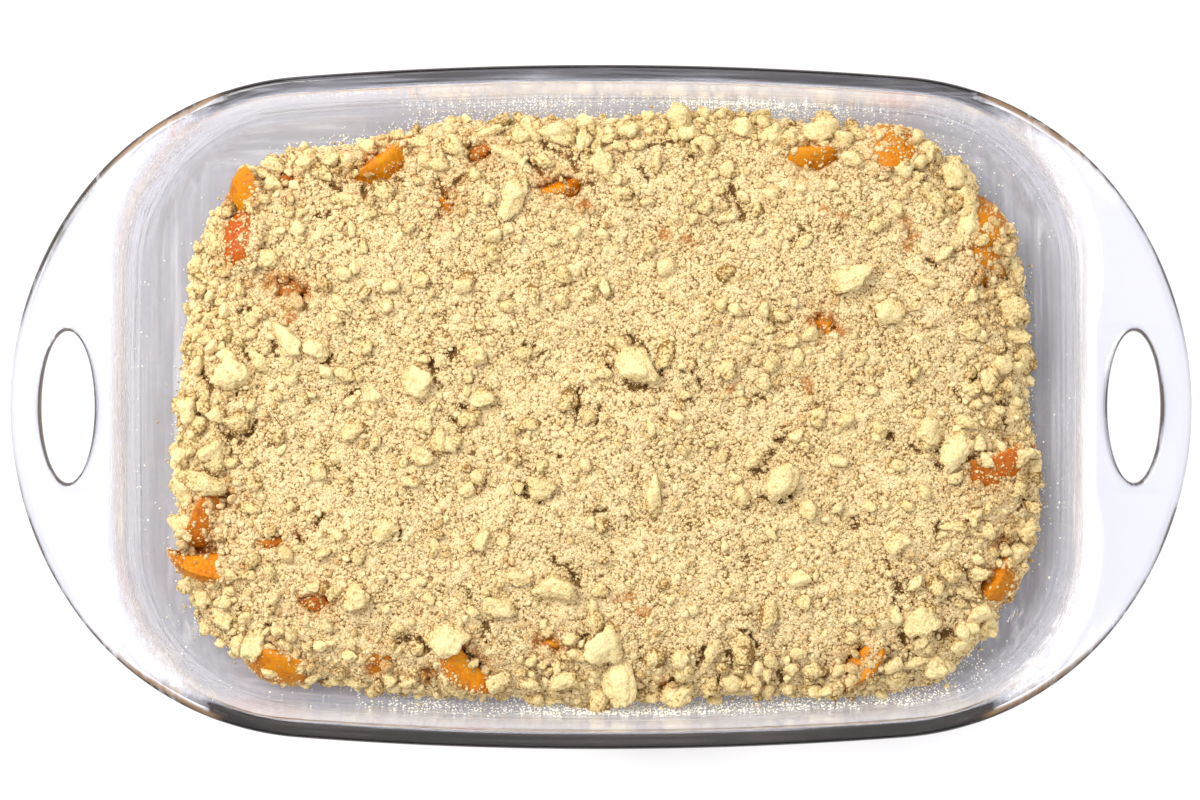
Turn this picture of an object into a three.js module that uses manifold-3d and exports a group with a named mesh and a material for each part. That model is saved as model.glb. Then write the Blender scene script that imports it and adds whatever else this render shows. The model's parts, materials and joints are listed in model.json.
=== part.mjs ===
// An apricot crisp, ready for the oven, in its own clear glass baking dish.
// Millimetres, +Z up. The origin is the middle of the dish's flat base, on the surface that it stands on.
// +X runs out through one handle, and +Y runs across the dish.
import * as THREE from "three";
import { mergeVertices } from "three/addons/utils/BufferGeometryUtils.js";
import Module from "manifold-3d";

const wasm = await Module();
wasm.setup();

// The dish, seen from above: an oblong basin inside a rim that widens into a rounded handle at each end.
const RIM = { length: 390, width: 226, endRadius: 117, cornerRadius: 99, sideRadius: 1300 };
const BASIN = { length: 320, width: 214, endRadius: 2600, cornerRadius: 58, sideRadius: 1440 };
const DISH_HEIGHT = 52;
const FLOOR_THICKNESS = 5;
const WALL_THICKNESS = 4.2;
const WALL_DRAFT = THREE.MathUtils.degToRad(5);
const OUTER_FOOT_RADIUS = 12;
const INNER_FLOOR_RADIUS = 11;
const OUTER_COVE_STEPS = 3;
const INNER_COVE_STEPS = 4;

// The flange that carries the handles, and its rounded edge from below to above: inset and height.
const FLANGE_THICKNESS = 6;
const FLANGE_BOTTOM = DISH_HEIGHT - FLANGE_THICKNESS;
const FLANGE_EDGE = [
  [1.3, FLANGE_BOTTOM],
  [0.35, FLANGE_BOTTOM + 0.8],
  [0, FLANGE_BOTTOM + 2.2],
  [0, FLANGE_BOTTOM + 3.6],
  [0.7, FLANGE_BOTTOM + 5.2],
  [2.4, DISH_HEIGHT],
];
const LIP_RADIUS = 2.4;

// The oval finger hole in each handle, whose rounded edges open out at both faces.
const HOLE = { centreX: 176, length: 50, width: 17.6 };
const HOLE_EDGE = 2.4;
const HOLE_STEPS = 28;

// The food: a layer of apricot quarters under a blanket of rubbed-in crumble.
const HEAP = { length: 293, width: 199, endRadius: 620, cornerRadius: 47, sideRadius: 900 };
const GAP = 0.35;
const HEAP_BASE = FLOOR_THICKNESS + GAP;

// Where the heap bulges out or falls short of its outline: direction in degrees, spread and millimetres.
const EDGE_BULGES = [
  [152, 13, -8.5], [129, 10, -5.5], [60, 14, 3.5], [32, 8, -5.5],
  [-14, 7, 5], [-50, 12, 4.5], [-95, 22, 2.5], [176, 12, -1.5],
];
const EDGE_FADE = 6;

// Each row is the share of the way out from the middle, and the height there.
const HEAP_PROFILE = [
  [0.97, HEAP_BASE],
  [1.0, 11],
  [0.972, 16],
  [0.925, 20],
  [0.86, 23.4],
  [0.74, 25.8],
  [0.52, 27],
  [0.26, 27.8],
];
const FILLING_SHARE = 0.955;
const FILLING_PROFILE = [
  [0.985, HEAP_BASE],
  [0.99, 11],
  [0.93, 14.4],
  [0.6, 16.2],
  [0.2, 16.6],
];

// A quarter of an apricot: its outer radius, stretch along the stem, half its spread and the stone's share.
const FRUIT = { radius: 18, stretch: 1.06, halfSpread: 44, stoneShare: 0.36 };
const FRUIT_STATIONS = [0.4, 0.98, 1.57, 2.16, 2.74];
const FRUIT_CLEARANCE = 0.7;

// The apricot quarters that show at the crumble's edge: place, how far the top stands above the crumble,
// and turns in degrees about Z, X and Y.
const SHOWN_FRUIT = [
  [-76, 80, 2.5, 35, 60, 10], [-118, 73, 3.5, -60, 40, 30], [-123, 54, 3.5, 80, -30, 15],
  [-131, -30, 2.5, 70, 50, 0], [-132, -53, 3.5, 15, 110, 20], [-109, -84, 4, -25, 60, -10],
  [-46, -84, 4, -50, 100, 15], [-77, -86, 2, 10, 40, 0], [87, -84, 3, 40, 120, -20],
  [133, -57, 3.5, 60, 70, 0], [133, -21, 3, 20, 50, 30], [131, 54, 3.5, 85, 30, 0],
  [97, 84, 3.5, 20, -40, 20], [71, 84, 3, 0, 60, 0], [-14, 74, 1.2, 20, 80, 0], [-55, 70, 1, -40, 60, 20],
];

// The lumps of butter crumb that stand out: place, length, width and turn in degrees.
const MARKED_LUMPS = [
  [-29, 73, 21, 8, 70], [82, 43, 19.5, 9, 12], [98, 32, 11.5, 9.5, -20], [-62, 8, 12, 12, 0],
  [-125, 11, 14, 13, 20], [-106, 23, 13.5, 7.5, -65], [-95, 19, 11, 9, 0], [12, 14, 17.5, 12, -50],
  [23, 47, 8, 7, 0], [18, -31, 16, 7, 80], [60, -25, 15.5, 11.5, 60], [-40, 3, 10, 7, 10],
  [-130, -15, 15.5, 11.5, 65], [-134, -26, 17, 10, 10], [-20, -27, 10, 9, 0], [-73, -42, 10, 8, 60],
  [-84, -65, 12, 11, 0], [-28, -58, 10, 5.5, 0], [-16, -61, 13.5, 11.5, 30], [-34, -67, 12, 8, 0],
  [-51, -78, 17.5, 13, 10], [2, -81, 15.5, 13, 0], [6, -93, 17, 11.5, -70], [111, -8, 13, 10, 30],
  [120, -16, 14, 11, 50], [124, 61, 12, 9, 80], [123, 78, 13, 9, -70], [102, 81, 9.5, 9.5, 0],
  [64, 92, 10, 7.5, 70], [-14, 92, 17, 9, 0], [109, -72, 14, 12, 0], [-112, 50, 9, 7.5, 0],
];

// The other lumps: how many there are, and the range of their sizes, shares of the way out and heights.
const BORDER_LUMPS = { count: 54, size: [8, 12.5], share: [0.93, 0.985], rise: [0.5, 10] };
const FIELD_LUMPS = { count: 28, size: [4.2, 8.2], share: 0.96, crowding: 0.42, stray: 4 };
const LUMP_FLATNESS = 0.75;
const LARGE_LUMP = 16.5;
const SEED = 41;

// Steps on the end, corner and side arcs of a quarter outline, for the glass and for the food.
const GLASS_STEPS = [3, 7, 4];
const FOOD_STEPS = [3, 5, 4];

// A repeatable stream of numbers from 0 to 1.
function randomStream(seed) {
  let state = seed;
  return () => {
    state = (Math.imul(state, 1664525) + 1013904223) >>> 0;
    return state / 2 ** 32;
  };
}
const random = randomStream(SEED);
const between = (low, high) => low + (high - low) * random();

// A quarter of an outline is three arcs that run smoothly into each other: end, corner and side.
// Every outline has as many points on each arc, so that two outlines can be joined ring to ring.
function outline(shape, inset = 0, steps = GLASS_STEPS) {
  const halfLength = shape.length / 2 - inset;
  const halfWidth = shape.width / 2 - inset;
  const [end, corner, side] = [shape.endRadius, shape.cornerRadius, shape.sideRadius].map((r) => r - inset);
  const endCentre = new THREE.Vector2(halfLength - end, 0);
  const sideCentre = new THREE.Vector2(0, halfWidth - side);
  const apart = sideCentre.clone().sub(endCentre);
  const distance = apart.length();
  const along = ((end - corner) ** 2 - (side - corner) ** 2 + distance ** 2) / (2 * distance);
  const across = Math.sqrt((end - corner) ** 2 - along ** 2);
  const unit = apart.normalize();
  const cornerCentre = new THREE.Vector2(-unit.y, unit.x)
    .multiplyScalar(across)
    .addScaledVector(unit, along)
    .add(endCentre);
  const endTurn = cornerCentre.clone().sub(endCentre).angle();
  const sideTurn = cornerCentre.clone().sub(sideCentre).angle();
  const arcs = [
    [endCentre, end, 0, endTurn],
    [cornerCentre, corner, endTurn, sideTurn],
    [sideCentre, side, sideTurn, Math.PI / 2],
  ];
  const quarter = arcs.flatMap(([centre, radius, from, to], arc) =>
    Array.from({ length: steps[arc] }, (_, i) => {
      const angle = from + ((to - from) * i) / steps[arc];
      return [centre.x + radius * Math.cos(angle), centre.y + radius * Math.sin(angle)];
    }),
  );
  quarter.push([0, halfWidth]);
  const forward = quarter.slice(0, -1);
  const backward = quarter.slice(1).reverse();
  return [
    ...forward,
    ...backward.map(([x, y]) => [-x, y]),
    ...forward.map(([x, y]) => [-x, -y]),
    ...backward.map(([x, y]) => [x, -y]),
  ];
}

const atHeight = (points, z) => points.map(([x, y]) => new THREE.Vector3(x, y, z));

const middleOf = (ring) =>
  ring.reduce((sum, point) => sum.add(point), new THREE.Vector3()).divideScalar(ring.length);

// A closed surface through rings of equal length, each turning right-handed about the way that the rings go.
function loft(rings) {
  const steps = rings[0].length;
  const points = [...rings.flat(), middleOf(rings[0]), middleOf(rings.at(-1))];
  const first = points.length - 2;
  const last = points.length - 1;
  const top = (rings.length - 1) * steps;
  const index = [];
  for (let i = 0; i < steps; i++) {
    const next = (i + 1) % steps;
    index.push(first, next, i, last, top + i, top + next);
    for (let ring = 0; ring < top; ring += steps) {
      const [a, b] = [ring + i, ring + next];
      index.push(a, b, b + steps, a, b + steps, a + steps);
    }
  }
  return new THREE.BufferGeometry().setFromPoints(points).setIndex(index);
}

// A closed geometry as a solid that can be cut and joined.
function solidOf(geometry) {
  const bare = geometry.clone();
  bare.deleteAttribute("normal");
  bare.deleteAttribute("uv");
  const merged = mergeVertices(bare, 1e-4);
  return new wasm.Manifold(
    new wasm.Mesh({
      numProp: 3,
      vertProperties: merged.attributes.position.array,
      triVerts: new Uint32Array(merged.index.array),
    }),
  );
}

// The largest body of a solid as a geometry, without loose scraps.
function geometryOf(solid) {
  const body = solid.decompose().reduce((a, b) => (b.volume() > a.volume() ? b : a));
  const mesh = body.getMesh();
  const geometry = new THREE.BufferGeometry();
  geometry.setAttribute("position", new THREE.BufferAttribute(mesh.vertProperties, mesh.numProp));
  geometry.setIndex(new THREE.BufferAttribute(mesh.triVerts, 1));
  geometry.computeVertexNormals();
  return geometry;
}

const joined = (solids) => solids.reduce((sum, solid) => sum.add(solid));

// Rings of a rounded corner between a floor and a drafted wall, from the floor's edge to the wall.
function coveRings(wallInset, radius, floorZ, steps) {
  return Array.from({ length: steps + 1 }, (_, i) => {
    const turn = ((Math.PI / 2 - WALL_DRAFT) * i) / steps;
    const inset = wallInset(floorZ + radius) + radius * (1 - Math.sin(turn));
    return atHeight(outline(BASIN, inset), floorZ + radius * (1 - Math.cos(turn)));
  });
}

const innerInset = (z) => (DISH_HEIGHT - z) * Math.tan(WALL_DRAFT);
const outerInset = (z) => innerInset(z) - WALL_THICKNESS;

// The dish, from its base up the outside, over the rim and down to the floor inside.
function dishSolid() {
  const lipBottom = DISH_HEIGHT - LIP_RADIUS;
  const rings = [
    ...coveRings(outerInset, OUTER_FOOT_RADIUS, 0, OUTER_COVE_STEPS),
    atHeight(outline(BASIN, outerInset(FLANGE_BOTTOM) + 0.6), FLANGE_BOTTOM - 1),
    ...FLANGE_EDGE.map(([inset, z]) => atHeight(outline(RIM, inset), z)),
    atHeight(outline(BASIN, -LIP_RADIUS), DISH_HEIGHT),
    atHeight(outline(BASIN, -0.3 * LIP_RADIUS), lipBottom + 0.7 * LIP_RADIUS),
    atHeight(outline(BASIN, innerInset(lipBottom)), lipBottom),
    ...coveRings(innerInset, INNER_FLOOR_RADIUS, FLOOR_THICKNESS, INNER_COVE_STEPS).reverse(),
  ];
  return solidOf(loft(rings)).subtract(fingerHole(1)).subtract(fingerHole(-1));
}

// The cutter of a finger hole: an oval shaft that opens out at both faces of the handle.
function fingerHole(side) {
  const flares = [
    [FLANGE_BOTTOM - 1, 1.2],
    [FLANGE_BOTTOM + 0.25 * HOLE_EDGE, 0.6],
    [FLANGE_BOTTOM + HOLE_EDGE, 0],
    [DISH_HEIGHT - HOLE_EDGE, 0],
    [DISH_HEIGHT - 0.25 * HOLE_EDGE, 0.6],
    [DISH_HEIGHT + 1, 1.2],
  ];
  const rings = flares.map(([z, share]) =>
    Array.from({ length: HOLE_STEPS }, (_, i) => {
      const angle = (2 * Math.PI * i) / HOLE_STEPS;
      const halfWidth = HOLE.width / 2 + share * HOLE_EDGE;
      const halfLength = HOLE.length / 2 + share * HOLE_EDGE;
      const x = side * HOLE.centreX + halfWidth * Math.cos(angle);
      return new THREE.Vector3(x, halfLength * Math.sin(angle), z);
    }),
  );
  return solidOf(loft(rings));
}

// The room inside the dish, a little smaller than the glass, that all the food keeps to.
function basinRoom() {
  const inset = (z) => innerInset(z) + GAP;
  return solidOf(
    loft([
      ...coveRings(inset, INNER_FLOOR_RADIUS, HEAP_BASE, INNER_COVE_STEPS),
      atHeight(outline(BASIN, GAP), DISH_HEIGHT),
    ]),
  );
}

const heapOutline = outline(HEAP, 0, FOOD_STEPS);

// The uneven edge of the heap, as millimetres in or out at an angle round the dish.
function unevenEdge(angle) {
  const bulges = EDGE_BULGES.map(([direction, spread, amount]) => {
    const turn = THREE.MathUtils.euclideanModulo(THREE.MathUtils.radToDeg(angle) - direction + 180, 360);
    return amount * Math.exp(-(((turn - 180) / spread) ** 2));
  });
  const ripple = Math.sin(9 * angle + 2.1) + 0.8 * Math.sin(13 * angle + 4.4);
  return bulges.reduce((sum, bulge) => sum + bulge, ripple);
}

// How far out from the middle a place lies, as a share of the way to the heap's uneven edge.
function shareOut(x, y) {
  const share = heapOutline.reduce((most, [ax, ay], i) => {
    const [bx, by] = heapOutline[(i + 1) % heapOutline.length];
    const [normalX, normalY] = [by - ay, ax - bx];
    return Math.max(most, (normalX * x + normalY * y) / (normalX * ax + normalY * ay));
  }, Number.EPSILON);
  const edge = Math.hypot(x, y) / share;
  return share - (share ** EDGE_FADE * unevenEdge(Math.atan2(y, x))) / edge;
}

// The gentle rises and dips of the crumble's top.
const softRelief = (x, y) =>
  0.9 * Math.sin(x / 21 + 1.3) * Math.cos(y / 17 + 0.4) + 0.5 * Math.sin(x / 11 - y / 14);

// The height of the crumble at a place, by the part of its profile that faces up.
function heapTop(x, y) {
  const share = shareOut(x, y);
  const rows = HEAP_PROFILE.slice(1);
  const outer = rows.findIndex(([rowShare]) => rowShare <= share);
  if (outer < 0) return rows.at(-1)[1] + softRelief(x, y);
  if (outer === 0) return rows[0][1];
  const [[shareA, zA], [shareB, zB]] = [rows[outer - 1], rows[outer]];
  return zA + ((zB - zA) * (shareA - share)) / (shareA - shareB) + softRelief(x, y);
}

// A heap whose rings follow a profile of shares and heights, times an overall share of the heap's outline.
function heapSolid(profile, size, relief, growth) {
  const rings = profile.map(([share, height]) =>
    heapOutline.map(([x, y]) => {
      const out = Math.hypot(x, y);
      const edge = out + share ** EDGE_FADE * unevenEdge(Math.atan2(y, x));
      const reach = (share * size * edge + growth) / out;
      const raised = relief(x * reach, y * reach) * (1 - share ** EDGE_FADE) + growth;
      return new THREE.Vector3(x * reach, y * reach, height > HEAP_BASE ? height + raised : height);
    }),
  );
  return solidOf(loft(rings));
}

// A quarter of an apricot: its skin, two cut faces and the hollow left by the stone, grown by a margin.
function apricotQuarter(growth) {
  const spread = THREE.MathUtils.degToRad(FRUIT.halfSpread);
  const pointAt = (station, radius, angle) => {
    const round = radius * Math.sin(station);
    const x = FRUIT.stretch * radius * Math.cos(station);
    return new THREE.Vector3(x, round * Math.sin(angle), round * Math.cos(angle));
  };
  const rings = FRUIT_STATIONS.map((station) => {
    const skin = [-spread, 0, spread].map((angle) => pointAt(station, FRUIT.radius, angle));
    const stone = [spread, -spread].map((angle) => pointAt(station, FRUIT.stoneShare * FRUIT.radius, angle));
    const ring = [...skin, ...stone];
    const middle = middleOf(ring);
    ring.forEach((point) => {
      point.addScaledVector(point.clone().sub(middle).normalize(), growth);
      point.x += growth * Math.cos(station);
    });
    return ring;
  });
  return loft(rings);
}

// The quarters that show, laid by how far their tops stand out of the crumble.
function shownFruit(growth) {
  return SHOWN_FRUIT.map(([x, y, rise, turn, lean, tip]) => {
    const angles = [lean, tip, turn].map(THREE.MathUtils.degToRad);
    const turned = new THREE.Matrix4().makeRotationFromEuler(new THREE.Euler(...angles, "ZYX"));
    const bare = apricotQuarter(0).applyMatrix4(turned);
    bare.computeBoundingBox();
    const middle = bare.boundingBox.getCenter(new THREE.Vector3());
    const lift = heapTop(x, y) + rise - bare.boundingBox.max.z;
    const fruit = apricotQuarter(growth).applyMatrix4(turned).translate(x - middle.x, y - middle.y, lift);
    return solidOf(fruit);
  });
}

// The bed of fruit with the quarters that show, grown by margins where it is to be cut from the crumble.
const fruitBed = (bedGrowth, fruitGrowth) =>
  joined([heapSolid(FILLING_PROFILE, FILLING_SHARE, () => 0, bedGrowth), ...shownFruit(fruitGrowth)]);

// An irregular lump: a ball of flat faces with its corners drawn in and out.
function lump(place, size, turn, detail = 0) {
  const ball = new THREE.IcosahedronGeometry(0.5, detail);
  ball.deleteAttribute("normal");
  ball.deleteAttribute("uv");
  const merged = mergeVertices(ball, 1e-4);
  const corners = merged.attributes.position;
  for (let i = 0; i < corners.count; i++) {
    const pull = between(0.84, 1.16);
    corners.setXYZ(i, corners.getX(i) * pull, corners.getY(i) * pull, corners.getZ(i) * pull);
  }
  merged.scale(...size);
  merged.rotateZ(THREE.MathUtils.degToRad(turn));
  merged.translate(...place);
  return solidOf(merged);
}

// The marked lumps, which lie a little more than half out of the crumble.
function markedLumps() {
  return MARKED_LUMPS.map(([x, y, length, width, turn]) => {
    const height = LUMP_FLATNESS * width;
    const detail = length > LARGE_LUMP ? 1 : 0;
    return lump([x, y, heapTop(x, y) + 0.12 * height], [length, width, height], turn, detail);
  });
}

// The row of lumps that rolled down to the glass all round the heap.
function borderLumps() {
  const { count, size, share, rise } = BORDER_LUMPS;
  return Array.from({ length: count }, (_, i) => {
    const place = ((i + between(0, 0.6)) / count) * heapOutline.length;
    const [x, y] = heapOutline[Math.floor(place)];
    const out = between(...share) + unevenEdge(Math.atan2(y, x)) / Math.hypot(x, y);
    const across = between(...size);
    const height = HEAP_BASE + 0.4 * across + between(...rise);
    return lump([x * out, y * out, height], [across, 0.85 * across, LUMP_FLATNESS * across], between(0, 180));
  });
}

// Smaller lumps strewn over the top, closer together towards the edge.
function fieldLumps() {
  const { count, size, share, crowding, stray } = FIELD_LUMPS;
  return Array.from({ length: count }, () => {
    const [edgeX, edgeY] = heapOutline[Math.floor(random() * heapOutline.length)];
    const out = share * random() ** crowding;
    const across = size[0] + (size[1] - size[0]) * random() ** 2;
    const [x, y] = [edgeX * out + between(-stray, stray), edgeY * out + between(-stray, stray)];
    const reach = [across, across * between(0.7, 1), LUMP_FLATNESS * across];
    return lump([x, y, heapTop(x, y) + 0.1 * across], reach, between(0, 180));
  });
}

function crumbleSolid(room) {
  const heap = heapSolid(HEAP_PROFILE, 1, softRelief, 0);
  return joined([heap, ...markedLumps(), ...borderLumps(), ...fieldLumps()])
    .intersect(room)
    .subtract(fruitBed(GAP, FRUIT_CLEARANCE));
}

function part(name, solid, material) {
  const mesh = new THREE.Mesh(geometryOf(solid), material);
  mesh.name = name;
  return mesh;
}

const glass = new THREE.MeshStandardMaterial({
  color: "#e4ecec",
  roughness: 0.03,
  metalness: 0,
  transparent: true,
  opacity: 0.35,
});
const fruitFlesh = new THREE.MeshStandardMaterial({ color: "#e58a1e", roughness: 0.35, metalness: 0 });
const butterCrumb = new THREE.MeshStandardMaterial({ color: "#dcc08c", roughness: 0.9, metalness: 0 });

const room = basinRoom();
const crisp = new THREE.Group();
crisp.add(part("baking_dish", dishSolid(), glass));
crisp.add(part("apricot_filling", fruitBed(0, 0).intersect(room), fruitFlesh));
crisp.add(part("crumble_topping", crumbleSolid(room), butterCrumb));

export default crisp;
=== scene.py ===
"""The looks of an apricot crisp, ready for the oven, in its own clear glass baking dish.

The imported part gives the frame. The glass, the apricots and the crumble are built here in it, in metres.
Sizes in the tables below are millimetres, as on the part's own drawing, unless a comment says otherwise.
"""

import json
import logging
import math
from dataclasses import dataclass
from enum import Enum
from functools import partial
from typing import Any, Callable, Iterable, Mapping, Self, Sequence

import bmesh
import bpy
import numpy as np
from mathutils import Euler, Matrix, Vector, noise
from mathutils.bvhtree import BVHTree
from mathutils.geometry import tessellate_polygon

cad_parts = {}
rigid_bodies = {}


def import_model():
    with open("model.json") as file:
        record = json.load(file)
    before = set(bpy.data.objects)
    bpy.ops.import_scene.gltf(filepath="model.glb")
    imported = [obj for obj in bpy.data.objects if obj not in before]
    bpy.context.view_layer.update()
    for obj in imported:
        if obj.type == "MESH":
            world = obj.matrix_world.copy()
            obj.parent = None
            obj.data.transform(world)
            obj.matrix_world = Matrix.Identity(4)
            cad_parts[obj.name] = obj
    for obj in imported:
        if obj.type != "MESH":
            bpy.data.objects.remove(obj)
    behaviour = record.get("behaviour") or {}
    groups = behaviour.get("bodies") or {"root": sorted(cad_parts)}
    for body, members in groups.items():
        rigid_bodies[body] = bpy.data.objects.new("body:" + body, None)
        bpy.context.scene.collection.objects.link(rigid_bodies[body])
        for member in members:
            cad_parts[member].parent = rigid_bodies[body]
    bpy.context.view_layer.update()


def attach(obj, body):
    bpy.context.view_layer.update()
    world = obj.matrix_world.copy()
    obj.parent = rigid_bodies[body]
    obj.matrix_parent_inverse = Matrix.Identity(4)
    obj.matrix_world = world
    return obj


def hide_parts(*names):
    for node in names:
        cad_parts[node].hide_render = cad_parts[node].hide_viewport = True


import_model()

log = logging.getLogger("apricot_crisp")

Pair = tuple[float, float]
Place = tuple[float, float, float]
Faces = list[tuple[int, ...]]

MM = 0.001
BODY = "root"


class Slot(Enum):
    """The material slots of the record."""

    GLASS = "glass"
    APRICOT = "apricot"
    CRUMBLE = "crumble"


class FruitSide(Enum):
    """What a place on a quarter of an apricot is, as the value that its material reads."""

    SKIN = 0.0
    FLESH = 0.5
    STONE_BED = 1.0


# Sizes that are shared with the part's source.


@dataclass(frozen=True)
class Oblong:
    """An oblong seen from above, three arcs a quarter that run smoothly into each other.

    Attributes:
        length: From end to end, along X.
        width: From side to side, along Y.
        end_radius: Radius of the arc across each end.
        corner_radius: Radius of the corners.
        side_radius: Radius of the long sides.
    """

    length: float
    width: float
    end_radius: float
    corner_radius: float
    side_radius: float

    def arcs(self, inset: float = 0.0) -> list[tuple[np.ndarray, float, float, float]]:
        """Works out the three arcs of the first quarter.

        Args:
            inset: How far inside the oblong the arcs run.

        Returns:
            Centre, radius, first and last angle of the end, corner and side arcs.
        """
        half_length, half_width = self.length / 2 - inset, self.width / 2 - inset
        end, corner, side = (r - inset for r in (self.end_radius, self.corner_radius, self.side_radius))
        end_centre = np.array((half_length - end, 0.0))
        side_centre = np.array((0.0, half_width - side))
        apart = side_centre - end_centre
        distance = float(np.hypot(*apart))
        unit = apart / distance
        along = ((end - corner) ** 2 - (side - corner) ** 2 + distance**2) / (2 * distance)
        across = math.sqrt((end - corner) ** 2 - along**2)
        corner_centre = end_centre + along * unit + across * np.array((-unit[1], unit[0]))
        end_turn = math.atan2(*(corner_centre - end_centre)[::-1])
        side_turn = math.atan2(*(corner_centre - side_centre)[::-1])
        return [
            (end_centre, end, 0.0, end_turn),
            (corner_centre, corner, end_turn, side_turn),
            (side_centre, side, side_turn, math.pi / 2),
        ]

    def points(self, inset: float = 0.0, steps: Sequence[int] = (24, 48, 28)) -> np.ndarray:
        """Goes once round the oblong, from the +X end and towards +Y.

        Args:
            inset: How far inside the oblong the points lie.
            steps: Steps on the end, corner and side arcs of each quarter.

        Returns:
            An array of places, one row each.
        """
        quarter = []
        for (centre, radius, first, last), count in zip(self.arcs(inset), steps):
            turns = first + (last - first) * np.arange(count) / count
            quarter.append(centre + radius * np.stack((np.cos(turns), np.sin(turns)), 1))
        quarter = np.vstack([*quarter, [(0.0, self.width / 2 - inset)]])
        ahead, back = quarter[:-1], quarter[:0:-1]
        return np.vstack((ahead, back * (-1, 1), -ahead, back * (1, -1)))

    def inset(self, inset: np.ndarray | float) -> np.ndarray:
        """Goes once round the oblong, further in by an amount that may change on the way.

        Args:
            inset: How far inside the oblong each point lies.

        Returns:
            An array of places, one row each.
        """
        edge = self.points()
        _, inward = self.depth(edge * (1 - 1e-6))
        return edge + inward * np.broadcast_to(inset, len(edge))[:, None]

    def depth(self, places: np.ndarray) -> tuple[np.ndarray, np.ndarray]:
        """Measures how far inside the oblong places lie.

        Args:
            places: Places seen from above, one row each.

        Returns:
            The distance inside the outline, and the unit direction that leads further in.
        """
        sign = np.where(places < 0, -1.0, 1.0)
        folded = np.abs(places)
        best = np.full(len(places), np.inf)
        inward = np.zeros_like(folded)
        for centre, radius, first, last in self.arcs():
            out = folded - centre
            reach = np.hypot(*out.T) + 1e-9
            turn = np.arctan2(out[:, 1], out[:, 0])
            own = (turn >= first - 1e-6) & (turn <= last + 1e-6) & (radius - reach < best)
            best = np.where(own, radius - reach, best)
            inward = np.where(own[:, None], -out / reach[:, None], inward)
        return best, inward * sign


RIM = Oblong(390, 226, 117, 99, 1300)
BASIN = Oblong(320, 214, 2600, 58, 1440)
HEAP = Oblong(293, 199, 620, 47, 900)

DISH_HEIGHT = 52.0
FLOOR = 5.0
WALL = 4.2
DRAFT = math.radians(5)
FOOT_RADIUS = 12.0
COVE_RADIUS = 11.0
FLANGE = 6.0
LIP_RADIUS = 2.4
GAP = 0.35
HEAP_BASE = FLOOR + GAP

EDGE_BULGES = (
    (152,13,-8.5), (129,10,-5.5), (60,14,3.5), (32,8,-5.5), (-14,7,5), (-50,12,4.5), (-95,22,2.5),
    (176,12,-1.5),
)
EDGE_FADE = 6
HEAP_PROFILE = (
    (0.97, HEAP_BASE), (1.0, 11), (0.972, 16), (0.925, 20),
    (0.86, 23.4), (0.74, 25.8), (0.52, 27), (0.26, 27.8),
)

FRUIT_RADIUS = 18.0
FRUIT_STRETCH = 1.06
FRUIT_SPREAD = math.radians(44)
STONE_SHARE = 0.36
FRUIT_STATIONS = (0.4, 0.98, 1.57, 2.16, 2.74)
SHOWN_FRUIT = (
    (-76,80,2.5,35,60,10), (-118,73,3.5,-60,40,30), (-123,54,3.5,80,-30,15), (-131,-30,2.5,70,50,0),
    (-132,-53,3.5,15,110,20), (-109,-84,4,-25,60,-10), (-46,-84,4,-50,100,15), (-77,-86,2,10,40,0),
    (87,-84,3,40,120,-20), (133,-57,3.5,60,70,0), (133,-21,3,20,50,30), (131,54,3.5,85,30,0),
    (97,84,3.5,20,-40,20), (71,84,3,0,60,0), (-14,74,1.2,20,80,0), (-55,70,1,-40,60,20),
)

# How each quarter that shows differs from the part's source: along, across, up, and how much of it is left.
SHOWN_NUDGE = {
    0: (1, 3, 0, 0.9), 1: (0, -2, 0, 0.65), 2: (1, 2, 0.3, 0.75), 3: (-3, -5, -0.8, 0.85), 4: (3, 2, 1.5, 1),
    5: (-1, -1, -0.3, 0.9), 6: (0, 0, -0.3, 0.85), 8: (-2, 0, -0.5, 0.8), 9: (1, 0, 0, 0.85),
    12: (1, 2, 0, 0.9),
    13: (0, 0, -0.3, 0.8), 14: (0, 1, -0.6, 0.6), 15: (1, 0, -0.6, 0.6),
}

# How red each quarter that shows is, in the order of their table; the fourth is made redder and darker also
# as painted shade, as it lies low in a channel.
SHOWN_BLUSH = (0.2, 0.1, 1.15, 0.8, 0.1, 0.25, 0.1, 0.5, 0.55, 0.35, 0.95, 0.45, 0.5, 0.3, 0.4, 0.4)

MARKED_LUMPS = (
    (-29,73,21,8,70), (82,43,19.5,9,12), (98,32,11.5,9.5,-20), (-62,8,12,12,0), (-125,11,14,13,20),
    (-106,23,13.5,7.5,-65), (-95,19,11,9,0), (12,14,17.5,12,-50), (23,47,8,7,0), (18,-31,16,7,80),
    (60,-25,15.5,11.5,60), (-40,3,10,7,10), (-130,-15,15.5,11.5,65), (-134,-26,17,10,10), (-20,-27,10,9,0),
    (-73,-42,10,8,60), (-84,-65,12,11,0), (-28,-58,10,5.5,0), (-16,-61,13.5,11.5,30), (-34,-67,12,8,0),
    (-51,-78,17.5,13,10), (2,-81,15.5,13,0), (6,-93,17,11.5,-70), (111,-8,13,10,30), (120,-16,14,11,50),
    (124,61,12,9,80), (123,78,13,9,-70), (102,81,9.5,9.5,0), (64,92,10,7.5,70), (-14,92,17,9,0),
    (109,-72,14,12,0), (-112,50,9,7.5,0),
)
LUMP_FLATNESS = 0.75
SEED = 41


def srgb(value: str) -> tuple[float, float, float, float]:
    """Turns an sRGB hex colour into the linear colour that a socket takes.

    Args:
        value: The colour as six hex digits after a hash.

    Returns:
        Red, green and blue in linear light, and an alpha of one.
    """
    channels = [int(value[i : i + 2], 16) / 255 for i in (1, 3, 5)]
    linear = [c / 12.92 if c <= 0.04045 else ((c + 0.055) / 1.055) ** 2.4 for c in channels]
    return (*linear, 1.0)


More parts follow.
